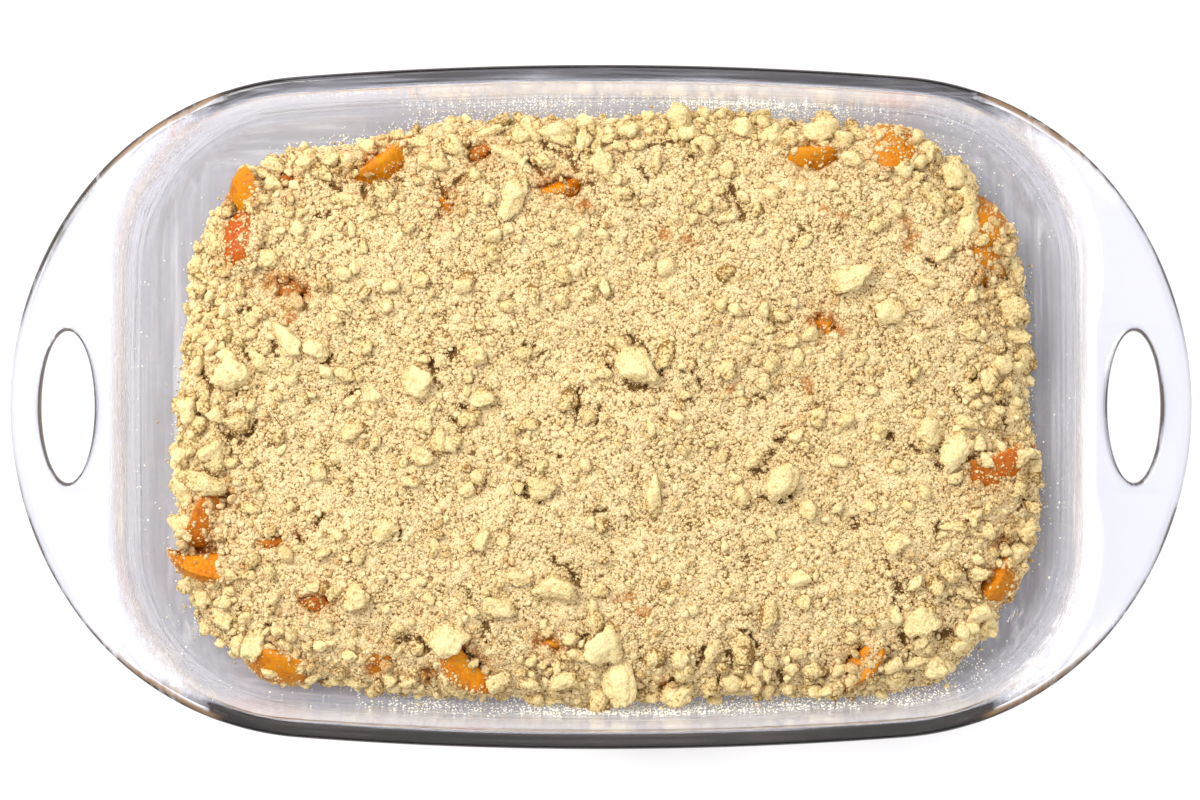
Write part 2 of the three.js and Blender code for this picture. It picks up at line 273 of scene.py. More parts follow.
def socket_of(sockets: Iterable[Any], key: str | int | None) -> Any:
    """Finds a socket by its place, or among those in use by its name, or else the first of them.

    Args:
        sockets: A node's inputs or outputs.
        key: The socket's name or its place, or nothing for the first.

    Returns:
        The socket.
    """
    if isinstance(key, int):
        return sockets[key]
    return next(s for s in sockets if s.enabled and key in (None, s.name))


@dataclass(frozen=True)
class Signal:
    """A node's output, on which plain arithmetic adds further nodes.

    Attributes:
        socket: The output.
    """

    socket: bpy.types.NodeSocket

    def other(self, name: str) -> Self:
        """Gives another output of the same node."""
        return Signal(socket_of(self.socket.node.outputs, name))

    def step(self, operation: str, *values: Any, clamp: bool = False) -> Self:
        """Does a step of arithmetic on the output.

        Args:
            operation: The step's name.
            values: The numbers or outputs that follow this one in it.
            clamp: Whether the result is kept from zero to one.

        Returns:
            The result.
        """
        inputs = dict(enumerate((self, *values)))
        return add_node(self.socket.id_data, "ShaderNodeMath", inputs, operation=operation, use_clamp=clamp)

    def __add__(self, value: Any) -> Self:
        """Adds a number or an output."""
        return self.step("ADD", value)

    def __sub__(self, value: Any) -> Self:
        """Takes away a number or an output."""
        return self.step("SUBTRACT", value)

    def __rsub__(self, value: float) -> Self:
        """Takes the output away from a number."""
        return self * -1.0 + value

    def __mul__(self, value: Any) -> Self:
        """Multiplies by a number or an output."""
        return self.step("MULTIPLY", value)


def plug(node: bpy.types.Node, inputs: Mapping[str | int, Any]) -> None:
    """Gives a node's inputs their values and links.

    Args:
        node: The node.
        inputs: A value, or another node's output, for each input named or numbered.
    """
    for key, value in inputs.items():
        socket = socket_of(node.inputs, key)
        if isinstance(value, Signal):
            node.id_data.links.new(value.socket, socket)
        else:
            socket.default_value = value


def add_node(
    tree: bpy.types.NodeTree,
    kind: str,
    inputs: Mapping[str | int, Any] | None = None,
    output: str | None = None,
    stops: Sequence[tuple[float, str]] = (),
    **settings: Any,
) -> Signal | None:
    """Adds a node with its settings, values and links.

    Args:
        tree: The tree that the node goes into.
        kind: The node's type.
        inputs: A value, or another node's output, for each input named or numbered.
        output: The output that is handed back, or nothing for the first in use.
        stops: Place and sRGB hex colour of each stop, where the node has a range of colours.
        settings: Properties of the node itself.

    Returns:
        The wanted output, or nothing where the node has none.
    """
    node = tree.nodes.new(kind)
    for name, value in settings.items():
        setattr(node, name, value)
    for i, (place, value) in enumerate(stops):
        elements = node.color_ramp.elements
        element = elements[i] if i < len(elements) else elements.new(place)
        element.position, element.color = place, srgb(value)
    plug(node, inputs or {})
    return Signal(socket_of(node.outputs, output)) if node.outputs else None


def mesh_piece(name: str, points: np.ndarray, faces: Sequence[Sequence[int]]) -> bpy.types.Object:
    """Makes a smooth mesh object whose place is in its mesh.

    Args:
        name: The piece's name.
        points: Its vertices in millimetres.
        faces: The vertex numbers of each face.

    Returns:
        The object, linked to the scene.
    """
    mesh = bpy.data.meshes.new(name)
    mesh.from_pydata((np.asarray(points, float) * MM).tolist(), [], [list(map(int, f)) for f in faces])
    mesh.update()
    mesh.shade_smooth()
    piece = bpy.data.objects.new(name, mesh)
    bpy.context.scene.collection.objects.link(piece)
    return piece


def face_outwards(mesh: bpy.types.Mesh) -> None:
    """Turns every face of closed shells outwards."""
    work = bmesh.new()
    work.from_mesh(mesh)
    bmesh.ops.recalc_face_normals(work, faces=work.faces)
    work.to_mesh(mesh)
    work.free()


def vertices_of(mesh: bpy.types.Mesh) -> np.ndarray:
    """Reads a mesh's vertices as rows, in millimetres."""
    flat = np.empty(len(mesh.vertices) * 3, np.float32)
    mesh.vertices.foreach_get("co", flat)
    return flat.reshape(-1, 3).astype(float) / MM


def move_vertices(mesh: bpy.types.Mesh, points: np.ndarray) -> None:
    """Puts a mesh's vertices at new places, given in millimetres."""
    mesh.vertices.foreach_set("co", (points * MM).astype(np.float32).ravel())
    mesh.update()

def read_values(mesh: bpy.types.Mesh, name: str) -> np.ndarray:
    """Reads the number that each vertex has under a name."""
    values = np.empty(len(mesh.vertices), np.float32)
    mesh.attributes[name].data.foreach_get("value", values)
    return values


def write_values(mesh: bpy.types.Mesh, name: str, values: np.ndarray) -> None:
    """Keeps one number a vertex under a name that materials and node trees read."""
    layer = mesh.attributes.get(name) or mesh.attributes.new(name, "FLOAT", "POINT")
    layer.data.foreach_set("value", np.asarray(values, np.float32))


def smooth_step(values: np.ndarray, low: float, high: float) -> np.ndarray:
    """Rises smoothly from zero at low to one at high."""
    share = np.clip((values - low) / (high - low), 0, 1)
    return share * share * (3 - 2 * share)


def start_tree(name: str, wanted: Mapping[str, str]) -> tuple[bpy.types.NodeTree, dict[str, Signal]]:
    """Starts a Geometry Nodes tree that takes a geometry and named inputs.

    Args:
        name: The tree's name.
        wanted: The kind of socket of each named input, after the geometry.

    Returns:
        The tree, and its inputs by their names.
    """
    tree = bpy.data.node_groups.new(name, "GeometryNodeTree")
    for way in ("INPUT", "OUTPUT"):
        tree.interface.new_socket(name="Geometry", in_out=way, socket_type="NodeSocketGeometry")
    for key, kind in wanted.items():
        tree.interface.new_socket(name=key, in_out="INPUT", socket_type=f"NodeSocket{kind}")
    given = add_node(tree, "NodeGroupInput").socket.node
    return tree, {s.name: Signal(s) for s in given.outputs}


def finish_tree(tree: bpy.types.NodeTree, geometry: Signal, material: Signal) -> bpy.types.NodeTree:
    """Ends a tree with plain mesh that has its material.

    Args:
        tree: The tree.
        geometry: What it has built.
        material: The material.

    Returns:
        The same tree.
    """
    real = add_node(tree, "GeometryNodeRealizeInstances", {"Geometry": geometry})
    done = add_node(tree, "GeometryNodeSetMaterial", {"Geometry": real, "Material": material})
    add_node(tree, "NodeGroupOutput", {"Geometry": done})
    return tree


def run_tree(
    piece: bpy.types.Object, tree: bpy.types.NodeTree, values: Mapping[str, Any]
) -> bpy.types.Object:
    """Runs a Geometry Nodes tree on an object and keeps the result as its plain mesh.

    Args:
        piece: The object that the tree starts from.
        tree: The tree.
        values: A value for each named input of the tree.

    Returns:
        The same object, with its new mesh and no modifier.
    """
    modifier = piece.modifiers.new(tree.name, "NODES")
    modifier.node_group = tree
    for item in tree.interface.items_tree:
        if item.in_out == "INPUT" and item.name in values:
            modifier[item.identifier] = values[item.name]
    piece.update_tag()
    bpy.context.view_layer.update()
    graph = bpy.context.evaluated_depsgraph_get()
    done = piece.evaluated_get(graph)
    result = bpy.data.meshes.new_from_object(done, preserve_all_data_layers=True, depsgraph=graph)
    piece.modifiers.remove(modifier)
    old, piece.data = piece.data, result
    result.name = piece.name
    bpy.data.meshes.remove(old)
    return piece


def keep_in_dish(points: np.ndarray) -> np.ndarray:
    """Moves any place that lies in the glass back into the room above the floor and inside the walls.

    Args:
        points: Places in millimetres, one row each.

    Returns:
        The same places, all clear of the glass.
    """
    kept = points.copy()
    kept[:, 2] = np.maximum(kept[:, 2], HEAP_BASE)
    lifted = np.clip((kept[:, 2] - HEAP_BASE) / COVE_RADIUS, 0, 1)
    straight = (DISH_HEIGHT - np.maximum(kept[:, 2], HEAP_BASE + COVE_RADIUS)) * math.tan(DRAFT)
    need = straight + COVE_RADIUS * (1 - np.sqrt(1 - (1 - lifted) ** 2)) + GAP
    depth, inward = BASIN.depth(kept[:, :2])
    short = np.where(np.isfinite(depth), np.maximum(need - depth, 0), 0)
    kept[:, :2] += inward * short[:, None]
    return kept


def dress(piece: bpy.types.Object, slot: Slot, *nodes: str) -> bpy.types.Object:
    """Ties a finished piece to the frame and reports it.

    Args:
        piece: The finished piece.
        slot: The record's material slot that it stands for, which is only logged.
        nodes: The part's nodes that it stands for.

    Returns:
        The same piece.
    """
    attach(piece, BODY)
    if nodes:
        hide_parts(*nodes)
    faces = sum(len(p.vertices) - 2 for p in piece.data.polygons)
    log.info("%s: %d triangles, slot %s", piece.name, faces, slot.value)
    return piece


def turn_matrix(x: float, y: float, z: float) -> np.ndarray:
    """Gives the matrix that turns a row of coordinates about X, Y and Z, in radians."""
    return np.array(Euler((x, y, z)).to_matrix()).T


def waves(places: np.ndarray, width: float, layer: float) -> np.ndarray:
    """Gives smooth random heights from about minus one to one at places.

    Args:
        places: Places, one row each, of which X and Y count.
        width: How wide a wave is.
        layer: Picks one of many patterns.

    Returns:
        A height for each place.
    """
    return np.array([noise.noise(Vector((p[0] / width, p[1] / width, layer))) for p in places])


class Gathered:
    """Shapes that are gathered into one mesh, with named values on their points."""

    def __init__(self, *keys: str) -> None:
        """Starts with no shapes, and with the names of the values."""
        self.keys = keys
        self.points: list[np.ndarray] = []
        self.faces: Faces = []
        self.rows: list[np.ndarray] = []
        self.count = 0

    def add(self, points: np.ndarray, faces: Iterable[Sequence[int]], **values: np.ndarray | float) -> None:
        """Adds a shape.

        Args:
            points: Its points.
            faces: Its faces.
            values: A value, or one for each point, under each key that isn't zero there.
        """
        self.points.append(points)
        self.faces.extend(tuple(i + self.count for i in face) for face in faces)
        self.rows.append(np.column_stack([np.zeros(len(points)) + values.get(key, 0.0) for key in self.keys]))
        self.count += len(points)

    def piece(self, name: str) -> bpy.types.Object:
        """Joins the shapes into one object and writes their values."""
        joined = mesh_piece(name, np.vstack(self.points), self.faces)
        for key, column in zip(self.keys, np.vstack(self.rows).T):
            write_values(joined.data, key, column)
        return joined


def new_material(name: str) -> tuple[bpy.types.Material, Callable[..., Any], bpy.types.Node]:
    """Starts a material.

    Args:
        name: The material's name.

    Returns:
        The material, what adds nodes to its tree, and the shader node at its output.
    """
    material = bpy.data.materials.new(name)
    material.use_nodes = True
    shader = next(n for n in material.node_tree.nodes if n.type == "BSDF_PRINCIPLED")
    return material, partial(add_node, material.node_tree), shader


# Pressed borosilicate glass: clear and a little cool, with slow waves that bend what is behind it.
@dataclass(frozen=True)
class GlassFinish:
    """Pressed borosilicate glass: clear, faintly cool, with fat wiped round inside the basin.

    Attributes:
        name: The material's name.
        tint: Colour of light that has gone through the glass.
        painted_shade_tint: Painted shade where the rim is seen edge on, round the finger holes and on the
            basin's floor.
        corner_tint: Tan tint of the rim at the corners.
        wave: Size of the pressed glass's slow waves.
        streak: Length and width of the streaks of fat.
        film: How much light the film of fat scatters, between streaks and in them.
    """

    name: str = "pressed_borosilicate_glass"
    tint: str = "#ebecf6"
    painted_shade_tint: str = "#2a211b"
    corner_tint: str = "#84694c"
    wave: float = 34.0
    streak: tuple[float, float] = (70.0, 3.2)
    film: tuple[float, float] = (0.14, 0.66)

    def streaks(self, add: Callable[..., Any], place: Signal) -> Signal:
        """Adds the streaks, which run round the basin: along its sides, and across its ends.

        Args:
            add: What adds nodes to the material's tree.
            place: The place on the dish.

        Returns:
            The strength of the streaks.
        """
        end = add("ShaderNodeAttribute", output="Fac", attribute_name="end")
        long, thin = (1 / (size * MM) for size in self.streak)
        ways = []
        for scale in ((long, thin, thin), (thin, long, thin)):
            drawn = add("ShaderNodeMapping", {"Vector": place, "Scale": scale})
            smear = {"Vector": drawn, "Scale": 1.0, "Detail": 4.0, "Roughness": 0.6, "Distortion": 0.5}
            ways.append(add("ShaderNodeTexNoise", smear))
        mixed = add("ShaderNodeMix", {"Factor": end, "A": ways[0], "B": ways[1]}, data_type="FLOAT")
        span = {"Value": mixed, "From Min": 0.42, "From Max": 0.78}
        return add("ShaderNodeMapRange", span, interpolation_type="SMOOTHSTEP")

    def material(self) -> bpy.types.Material:
        """Builds the material, which reads the attributes inside, edge (painted shade), worn and end."""
        material, add, shader = new_material(self.name)
        place = add("ShaderNodeTexCoord", output="Object")
        inside, edge, worn = (
            add("ShaderNodeAttribute", output="Fac", attribute_name=key) for key in ("inside", "edge", "worn")
        )
        slow = add("ShaderNodeTexNoise", {"Vector": place, "Scale": 1 / (self.wave * MM), "Detail": 1.0})
        streaks = self.streaks(add, place)
        # Fat scatters light where it was wiped on, so the glass is milky there and clear elsewhere.
        fat = streaks * (self.film[1] - self.film[0]) + self.film[0]
        film = fat.step("MULTIPLY", inside, clamp=True)
        # Painted shade darkens the tint where the rim is seen edge on, round the finger holes and on the
        # basin's floor, and the rim's corners are tinted tan.
        tint: Any = srgb(self.tint)
        for where, patchy, colour in (
            (edge, streaks * -0.75 + 1.15, self.painted_shade_tint), (worn, streaks * -0.4 + 1.0, self.corner_tint)
        ):
            share = where.step("MULTIPLY", patchy, clamp=True)
            tint = add("ShaderNodeMix", {"Factor": share, "A": tint, "B": srgb(colour)}, data_type="RGBA")
        bump = add("ShaderNodeBump", {"Height": film * 0.5 + slow, "Strength": 0.35, "Distance": 0.0008})
        look = {"Base Color": tint, "Roughness": film * 0.5 + 0.004, "Transmission Weight": 1.0 - film}
        plug(shader, {**look, "Normal": bump, "IOR": 1.5, "Specular IOR Level": 0.5})
        return material


@dataclass(frozen=True)
class CrumbFinish:
    """Flour, butter and sugar rubbed together: dry and matte, with sandy grains and painted shade in the gaps
    between them.

    Attributes:
        name: The material's name.
        gap_shade: Colour of the painted shade down between the grains.
        body: Colour of most of the crumb.
        crest: Colour of the grains that stand out.
        juice: Colour where juice has soaked in.
        grain: Width of a grain.
        grain_share: How much of the tone comes from the grains, the rest from soft mottling.
        mottle: Width of the soft mottling.
        tint_share: How far each piece's own tint moves the tone.
        bump: Height of the grain's relief.
        own_share: How far each grain's own tone differs.
        pit_shade: How dark the painted shade in the deep gaps between grains is.
    """

    name: str
    gap_shade: str
    body: str
    crest: str
    juice: str = "#a6682a"
    grain: float = 1.1
    grain_share: float = 0.6
    mottle: float = 7.0
    tint_share: float = 0.0
    bump: float = 0.45
    own_share: float = 0.5
    pit_shade: float = 0.85

    def material(self) -> bpy.types.Material:
        """Builds the material, which reads the attributes tint, hollow (painted shade) and juice."""
        material, add, shader = new_material(self.name)
        place = add("ShaderNodeTexCoord", output="Object")
        tint, hollow, juice = (
            add("ShaderNodeAttribute", output="Fac", attribute_name=key)
            for key in ("tint", "hollow", "juice")
        )
        grain = {"Vector": place, "Scale": 1 / (self.grain * MM)}
        soft_cells = {**grain, "Smoothness": 0.35, "Randomness": 1.0}
        cells = add("ShaderNodeTexVoronoi", soft_cells, feature="SMOOTH_F1")
        single = add("ShaderNodeTexVoronoi", grain, "Color", feature="F1")
        own = add("ShaderNodeSeparateColor", {"Color": single})
        fine = add(
            "ShaderNodeTexNoise", {**grain, "Scale": 1.6 * grain["Scale"], "Detail": 3.0, "Roughness": 0.7}
        )
        soft = add("ShaderNodeTexNoise", {"Vector": place, "Scale": 1 / (self.mottle * MM), "Detail": 3.0})
        pit_shade = add(
            "ShaderNodeTexNoise",
            {**grain, "Scale": 0.8 * grain["Scale"], "Detail": 3.0, "Roughness": 0.65, "Distortion": 0.8},
        )
        relief = cells * -1.15 + 1.05 + (own - 0.5) * self.own_share + (fine - 0.5) * 0.9
        tone = relief * self.grain_share + soft * (1 - self.grain_share)
        # The hollow value takes tone away: painted shade in dips, in crevices and at the lumps' feet.
        tone = tone + (tint - 0.5) * self.tint_share - hollow
        # Tone runs from pale at each grain's middle to the gap colour at its edge: painted shade between the
        # grains.
        tones = ((0.16, self.gap_shade), (0.36, self.body), (0.72, self.crest))
        colour = add("ShaderNodeValToRGB", {"Fac": tone}, stops=tones)
        # Specks of painted shade in the deepest gaps, more of them in the hollows.
        darkest = tint * (-0.8 * self.pit_shade) + self.pit_shade
        span = {"From Min": 0.19, "From Max": 0.25, "To Min": darkest, "To Max": 0.0}
        crowd = soft * 0.3 + hollow * 0.25
        deep = add("ShaderNodeMapRange", {"Value": pit_shade - crowd, **span}, interpolation_type="SMOOTHSTEP")
        soaked = juice * relief.step("MULTIPLY_ADD", -0.9, 1.25, clamp=True)
        for share, hue in ((deep, self.gap_shade), (soaked, self.juice)):
            colour = add("ShaderNodeMix", {"Factor": share, "A": colour, "B": srgb(hue)}, data_type="RGBA")
        bump = add("ShaderNodeBump", {"Height": relief, "Strength": 0.8, "Distance": self.bump * MM})
        look = {"Base Color": colour, "Normal": bump, "Roughness": 0.86}
        plug(shader, {**look, "IOR": 1.45, "Specular IOR Level": 0.22})
        return material


# The mottling of ripe fruit, as a share of its own colour.
SOFT_SHADES = ((0.32, "#ad7f56"), (0.5, "#f0deb8"), (0.62, "#ffffff"))


# Raw apricot: velvety skin that blushes where the sun reached it, and cut flesh that is soft and wet.
# The flesh's fibres are finer than shows here, so they are drawn 1.3 mm wide.
@dataclass(frozen=True)
class ApricotFinish:
    """Raw ripe apricot: matte velvety skin with a red blush, and wet flesh with fibres round the stone's bed.

    Attributes:
        name: The material's name.
        skin: Colour of the skin.
        blush: Colour of the side that the sun reached.
        flesh: Colour of the cut flesh.
        stone_bed: Colour of the hollow that the stone left.
        blotch: Size of the blush.
        fibre: Width of a fibre of the flesh.
    """

    name: str = "raw_apricot"
    skin: str = "#c98408"
    blush: str = "#ad481e"
    flesh: str = "#d98d15"
    stone_bed: str = "#9a531c"
    blotch: float = 9.0
    fibre: float = 1.3

    def material(self) -> bpy.types.Material:
        """Builds the material, which reads the attributes side and blush."""
        material, add, shader = new_material(self.name)
        place = add("ShaderNodeTexCoord", output="Object")
        side, ripe = (
            add("ShaderNodeAttribute", output="Fac", attribute_name=key) for key in ("side", "blush")
        )
        blotch = add("ShaderNodeTexNoise", {"Vector": place, "Scale": 1 / (self.blotch * MM), "Detail": 4.0})
        fine = {"Vector": place, "Scale": 1 / (self.fibre * MM), "Detail": 3.0, "Roughness": 0.6}
        fibre = add("ShaderNodeTexNoise", fine)
        reddened = blotch.step("MULTIPLY_ADD", 1.6, ripe - 1.25, clamp=True)
        colours = {"A": srgb(self.skin), "B": srgb(self.blush)}
        skin = add("ShaderNodeMix", {"Factor": reddened, **colours}, data_type="RGBA")
        depths = ((0.3, self.flesh), (0.62, self.flesh), (0.95, self.stone_bed))
        inner = add("ShaderNodeValToRGB", {"Fac": (fibre - 0.5) * 0.35 + side}, stops=depths)
        cut = side.step("MULTIPLY_ADD", 4.0, -0.6, clamp=True)
        bare = add("ShaderNodeMix", {"Factor": cut, "A": skin, "B": inner}, data_type="RGBA")
        shade = add("ShaderNodeValToRGB", {"Fac": blotch * 0.6 + fibre * 0.4}, stops=SOFT_SHADES)
        shaded = {"Factor": 1.0, "A": bare, "B": shade}
        colour = add("ShaderNodeMix", shaded, data_type="RGBA", blend_type="MULTIPLY")
        height = fibre * (cut * 0.8 + 0.2)
        bump = add("ShaderNodeBump", {"Height": height, "Strength": 0.8, "Distance": 0.0008})
        look = {"Base Color": colour, "Normal": bump, "Roughness": cut * -0.08 + 0.4}
        glow = {"Subsurface Weight": 0.08, "Subsurface Radius": (1.0, 0.45, 0.12), "Subsurface Scale": 0.002}
        plug(shader, {**look, **glow, "IOR": 1.4, "Specular IOR Level": 0.25})
        return material


@dataclass
class GlassDish:
    """The dish: a basin with coved corners, a rounded rim, and a handle with a finger hole at each end.

    Attributes:
        finish: The glass.
        hole_centre: How far out the middle of each finger hole is.
        hole_length: The hole's length across the dish.
        hole_width: The hole's width.
        hole_round: How far the hole's edges are rounded.
        round_steps: Steps on each rounded edge.
        hole_steps: Steps round a hole.
    """

    finish: GlassFinish = GlassFinish()
    hole_centre: float = 176.0
    hole_length: float = 50.0
    hole_width: float = 17.6
    hole_round: float = 2.4
    round_steps: int = 7
    hole_steps: int = 96

    def __post_init__(self) -> None:
        """Starts with no points and faces, and tucks the basin's corners in under the rim."""
        self.points: list[np.ndarray] = []
        self.faces: list[Sequence[int]] = []
        self.inside: list[np.ndarray] = []
        self.count = 0
        tight = 4.9 - RIM.depth(BASIN.points())[0]
        self.tuck = (tight + np.sqrt(tight**2 + 1)) / 2

    def wall_inset(self, z: float) -> float:
        """Gives how far the inner wall has come in from the basin's top outline at a height."""
        return (DISH_HEIGHT - z) * math.tan(DRAFT)

    def ring(self, plan: np.ndarray, z: np.ndarray | float, inside: np.ndarray | float = 0.0) -> np.ndarray:
        """Adds a ring of points.

        Args:
            plan: The ring seen from above.
            z: Its height, which may change on the way round.
            inside: How greasy the glass is there, from none outside to one on the basin's walls.

        Returns:
            The numbers of the ring's points.
        """
        self.points.append(np.column_stack((plan, np.broadcast_to(z, len(plan)))))
        self.inside.append(np.full(len(plan), 1.0) * inside)
        numbers = np.arange(self.count, self.count + len(plan))
        self.count += len(plan)
        return numbers

    def join(self, rings: Sequence[np.ndarray]) -> None:
        """Adds the faces between each ring and the next."""
        for low, high in zip(rings, rings[1:]):
            self.faces.extend(zip(low, np.roll(low, -1), np.roll(high, -1), high))

    def cap(self, ring: np.ndarray, z: float, inside: float = 0.0) -> None:
        """Closes a flat ring with faces that meet in its middle."""
        middle = self.ring(np.zeros((1, 2)), z, inside)[0]
        self.faces.extend((a, b, middle) for a, b in zip(ring, np.roll(ring, -1)))

    def fill(self, *loops: np.ndarray) -> None:
        """Fills the flat space between an outer ring and the rings inside it."""
        points = np.vstack(self.points)
        flat = np.concatenate(loops)
        triangles = tessellate_polygon([[Vector(points[i]) for i in loop] for loop in loops])
        self.faces.extend(tuple(flat[i] for i in triangle) for triangle in triangles)

    def cove(self, base_inset: float, radius: float, z: float, inside: float) -> list[np.ndarray]:
        """Adds the rounded corner between a floor and a wall.

        Args:
            base_inset: What is added to the inner wall's inset.
            radius: The corner's radius.
            z: The floor's height.
            inside: How greasy the glass is there.

        Returns:
            The rings from the flat of the floor to the wall.
        """
        steps = 2 * self.round_steps
        wall = self.wall_inset(z + radius) + base_inset
        rings = [self.ring(BASIN.inset(wall + radius + 0.8 + self.tuck), z, inside)]
        for turn in np.linspace(0, math.pi / 2 - DRAFT, steps):
            inset = wall + radius * (1 - math.sin(turn))
            rings.append(self.ring(BASIN.inset(inset + self.tuck), z + radius * (1 - math.cos(turn)), inside))
        return rings

    def hole(self, side: int) -> tuple[np.ndarray, np.ndarray]:
        """Adds the wall of a finger hole, with rounded edges.

        Args:
            side: One at the +X handle, minus one at the other.

        Returns:
            The hole's ring in the handle's underside and in its top.
        """
        turns = np.linspace(0, 2 * math.pi, self.hole_steps, endpoint=False)
        quarter = np.linspace(0, math.pi / 2, self.round_steps)
        edge = [(self.hole_round * (1 - math.sin(t)), self.hole_round * (1 - math.cos(t))) for t in quarter]
        low = [(grown, DISH_HEIGHT - FLANGE + up) for grown, up in edge]
        high = [(grown, DISH_HEIGHT - down) for grown, down in reversed(edge)]
        rows = [(self.hole_round + 0.15, low[0][1]), *low, *high, (self.hole_round + 0.15, high[-1][1])]
        rings = []
        for grown, z in rows:
            x = side * self.hole_centre + (self.hole_width / 2 + grown) * np.cos(turns)
            y = (self.hole_length / 2 + grown) * np.sin(turns)
            rings.append(self.ring(np.column_stack((x, y)), z))
        self.join(rings)
        return rings[0], rings[-1]

    def build(self) -> bpy.types.Object:
        """Builds the dish as one closed shell.

        Returns:
            The finished piece.
        """
        bottom = DISH_HEIGHT - FLANGE
        quarter = np.linspace(0, math.pi / 2, self.round_steps)
        plan = BASIN.points()
        at_end = smooth_step(np.abs(plan[:, 0]), 123, 147)
        by_hole = 1 - smooth_step(np.abs(plan[:, 1]), 24, 42)
        rim_end = smooth_step(np.abs(RIM.points()[:, 0]), 118, 150)

        outer = self.cove(-WALL, FOOT_RADIUS, 0.0, 0.0)
        self.cap(outer[0], 0.0)
        for z in (18.0, 27.0):
            outer.append(self.ring(BASIN.inset(self.wall_inset(z) - WALL + self.tuck), z))
        tall = 9.0 + 2.0 * at_end
        start = self.wall_inset(bottom - tall) - WALL + self.tuck
        _, inward = BASIN.depth(plan * (1 - 1e-6))
        room = RIM.depth(plan + inward * start[:, None])[0]
        wide = (room - 0.75) * (1 - at_end) + (4.1 - 2.4 * by_hole) * at_end
        wide = np.minimum(wide, room - 0.75 - 1.1 * smooth_step(np.abs(plan[:, 0]), 108, 136))
        for turn in quarter:
            level = turn / (math.pi / 2)
            out = level * (1 - at_end) + (1 - math.cos(turn)) * at_end
            up = level * (1 - at_end) + math.sin(turn) * at_end
            greasy = at_end * (1.0 + 1.4 * (1 - at_end))
            outer.append(self.ring(BASIN.inset(start - wide * out), bottom - tall * (1 - up), greasy))
        outer.append(self.ring(BASIN.inset(start - wide - 0.12), bottom))
        self.join(outer)

        across, high = 0.4 + rim_end, 0.8 + 1.4 * rim_end
        rim_x = np.abs(RIM.points()[:, 0])
        worn = 9.0 * smooth_step(rim_x, 122, 128) * (1 - smooth_step(rim_x, 156, 176))
        rim = [self.ring(RIM.inset(across + 0.12 + 1.5 * smooth_step(rim_x, 152, 164)), bottom)]
        for turn in quarter:
            low = bottom + high * (1 - math.cos(turn))
            rim.append(self.ring(RIM.inset(across * (1 - math.sin(turn))), low, worn))
        for turn in quarter:
            inset, drop = 2.4 * (1 - math.cos(turn)), 2.4 * (1 - math.sin(turn))
            rim.append(self.ring(RIM.points(inset), DISH_HEIGHT - drop, worn))
        rim.append(self.ring(RIM.points(2.7), DISH_HEIGHT, worn))
        self.join(rim)

        tall = LIP_RADIUS + at_end * 8.0
        foot = self.wall_inset(DISH_HEIGHT - tall) + self.tuck
        room = RIM.depth(plan + inward * foot[:, None])[0]
        wide = np.minimum(LIP_RADIUS + at_end * (5.4 - 2.9 * by_hole), room - 3.1)
        inner = [self.ring(BASIN.inset(foot - wide - 0.15), DISH_HEIGHT)]
        for turn in quarter:
            inset = foot - wide * (1 - math.sin(turn))
            smeared = 0.3 * turn / (math.pi / 2) + at_end * min(2.2, 4 * turn)
            inner.append(self.ring(BASIN.inset(inset), DISH_HEIGHT - tall * (1 - math.cos(turn)), smeared))
        for z in (34.0, 24.0):
            inner.append(self.ring(BASIN.inset(self.wall_inset(z) + self.tuck), z, 1.0))
        inner.extend(reversed(self.cove(0.0, COVE_RADIUS, FLOOR, 0.6)))
        self.join(inner)
        self.cap(inner[-1], FLOOR, 0.2)

        holes = [self.hole(side) for side in (1, -1)]
        self.fill(rim[0], outer[-1], *(low for low, _ in holes))
        self.fill(rim[-1], inner[0], *(high for _, high in holes))

        points = np.vstack(self.points)
        piece = mesh_piece("glass_dish", points, self.faces)
        face_outwards(piece.data)
        write_values(piece.data, "inside", np.concatenate(self.inside))
        # Painted shade of the glass, which its material reads under the name edge.
        write_values(piece.data, "edge", self.painted_glass_shade(points))
        x = np.abs(points[:, 0])
        # The rim is tinted tan near its outer edge at the corners.
        corner = smooth_step(x, 124, 130) * (1 - smooth_step(x, 150, 172))
        depth = RIM.depth(points[:, :2])[0] + 0.9 * waves(points, 15, 4.0)
        near_edge = smooth_step(depth, 0.5, 1.1) * (1 - smooth_step(depth, 1.9, 3.0))
        write_values(piece.data, "worn", corner * near_edge * (points[:, 2] > 44))
        write_values(piece.data, "end", smooth_step(x, 118, 142))
        piece.data.materials.append(self.finish.material())
        # Light that falls on the food and the table isn't held up by clear glass.
        piece.visible_shadow = piece.visible_diffuse = False
        return dress(piece, Slot.GLASS, "baking_dish")

    def painted_glass_shade(self, points: np.ndarray) -> np.ndarray:
        """Marks the glass's painted shade: where the rim is seen edge on, darkest along the long sides, round
        the finger holes, and on the basin's floor.

        Args:
            points: The dish's points.

        Returns:
            From zero for clear glass to one where the painted shade is dark.
        """
        depth, _ = RIM.depth(points[:, :2])
        high = smooth_step(points[:, 2], DISH_HEIGHT - 9, DISH_HEIGHT - 6)
        x = np.abs(points[:, 0])
        round_corner = smooth_step(x, 116, 136) * (1 - smooth_step(x, 176, 190))
        top_left = (points[:, 0] < 0) & (points[:, 1] > 0)
        thick = round_corner * np.where(top_left, 1.0, 1 - smooth_step(x, 130, 160))
        # Painted shade: a dark line along the rim's outer edge, wider at the rounded corners and fainter at
        # the far ends.
        line = 1 - smooth_step(depth, 0.3 + 1.1 * thick, 1.8 + 0.7 * thick)
        far_end = smooth_step(x, 186, 194.5)
        corner = smooth_step(x, 122, 130) * (1 - smooth_step(x, 150, 170))
        near_side = smooth_step(-points[:, 1], 20, 60)
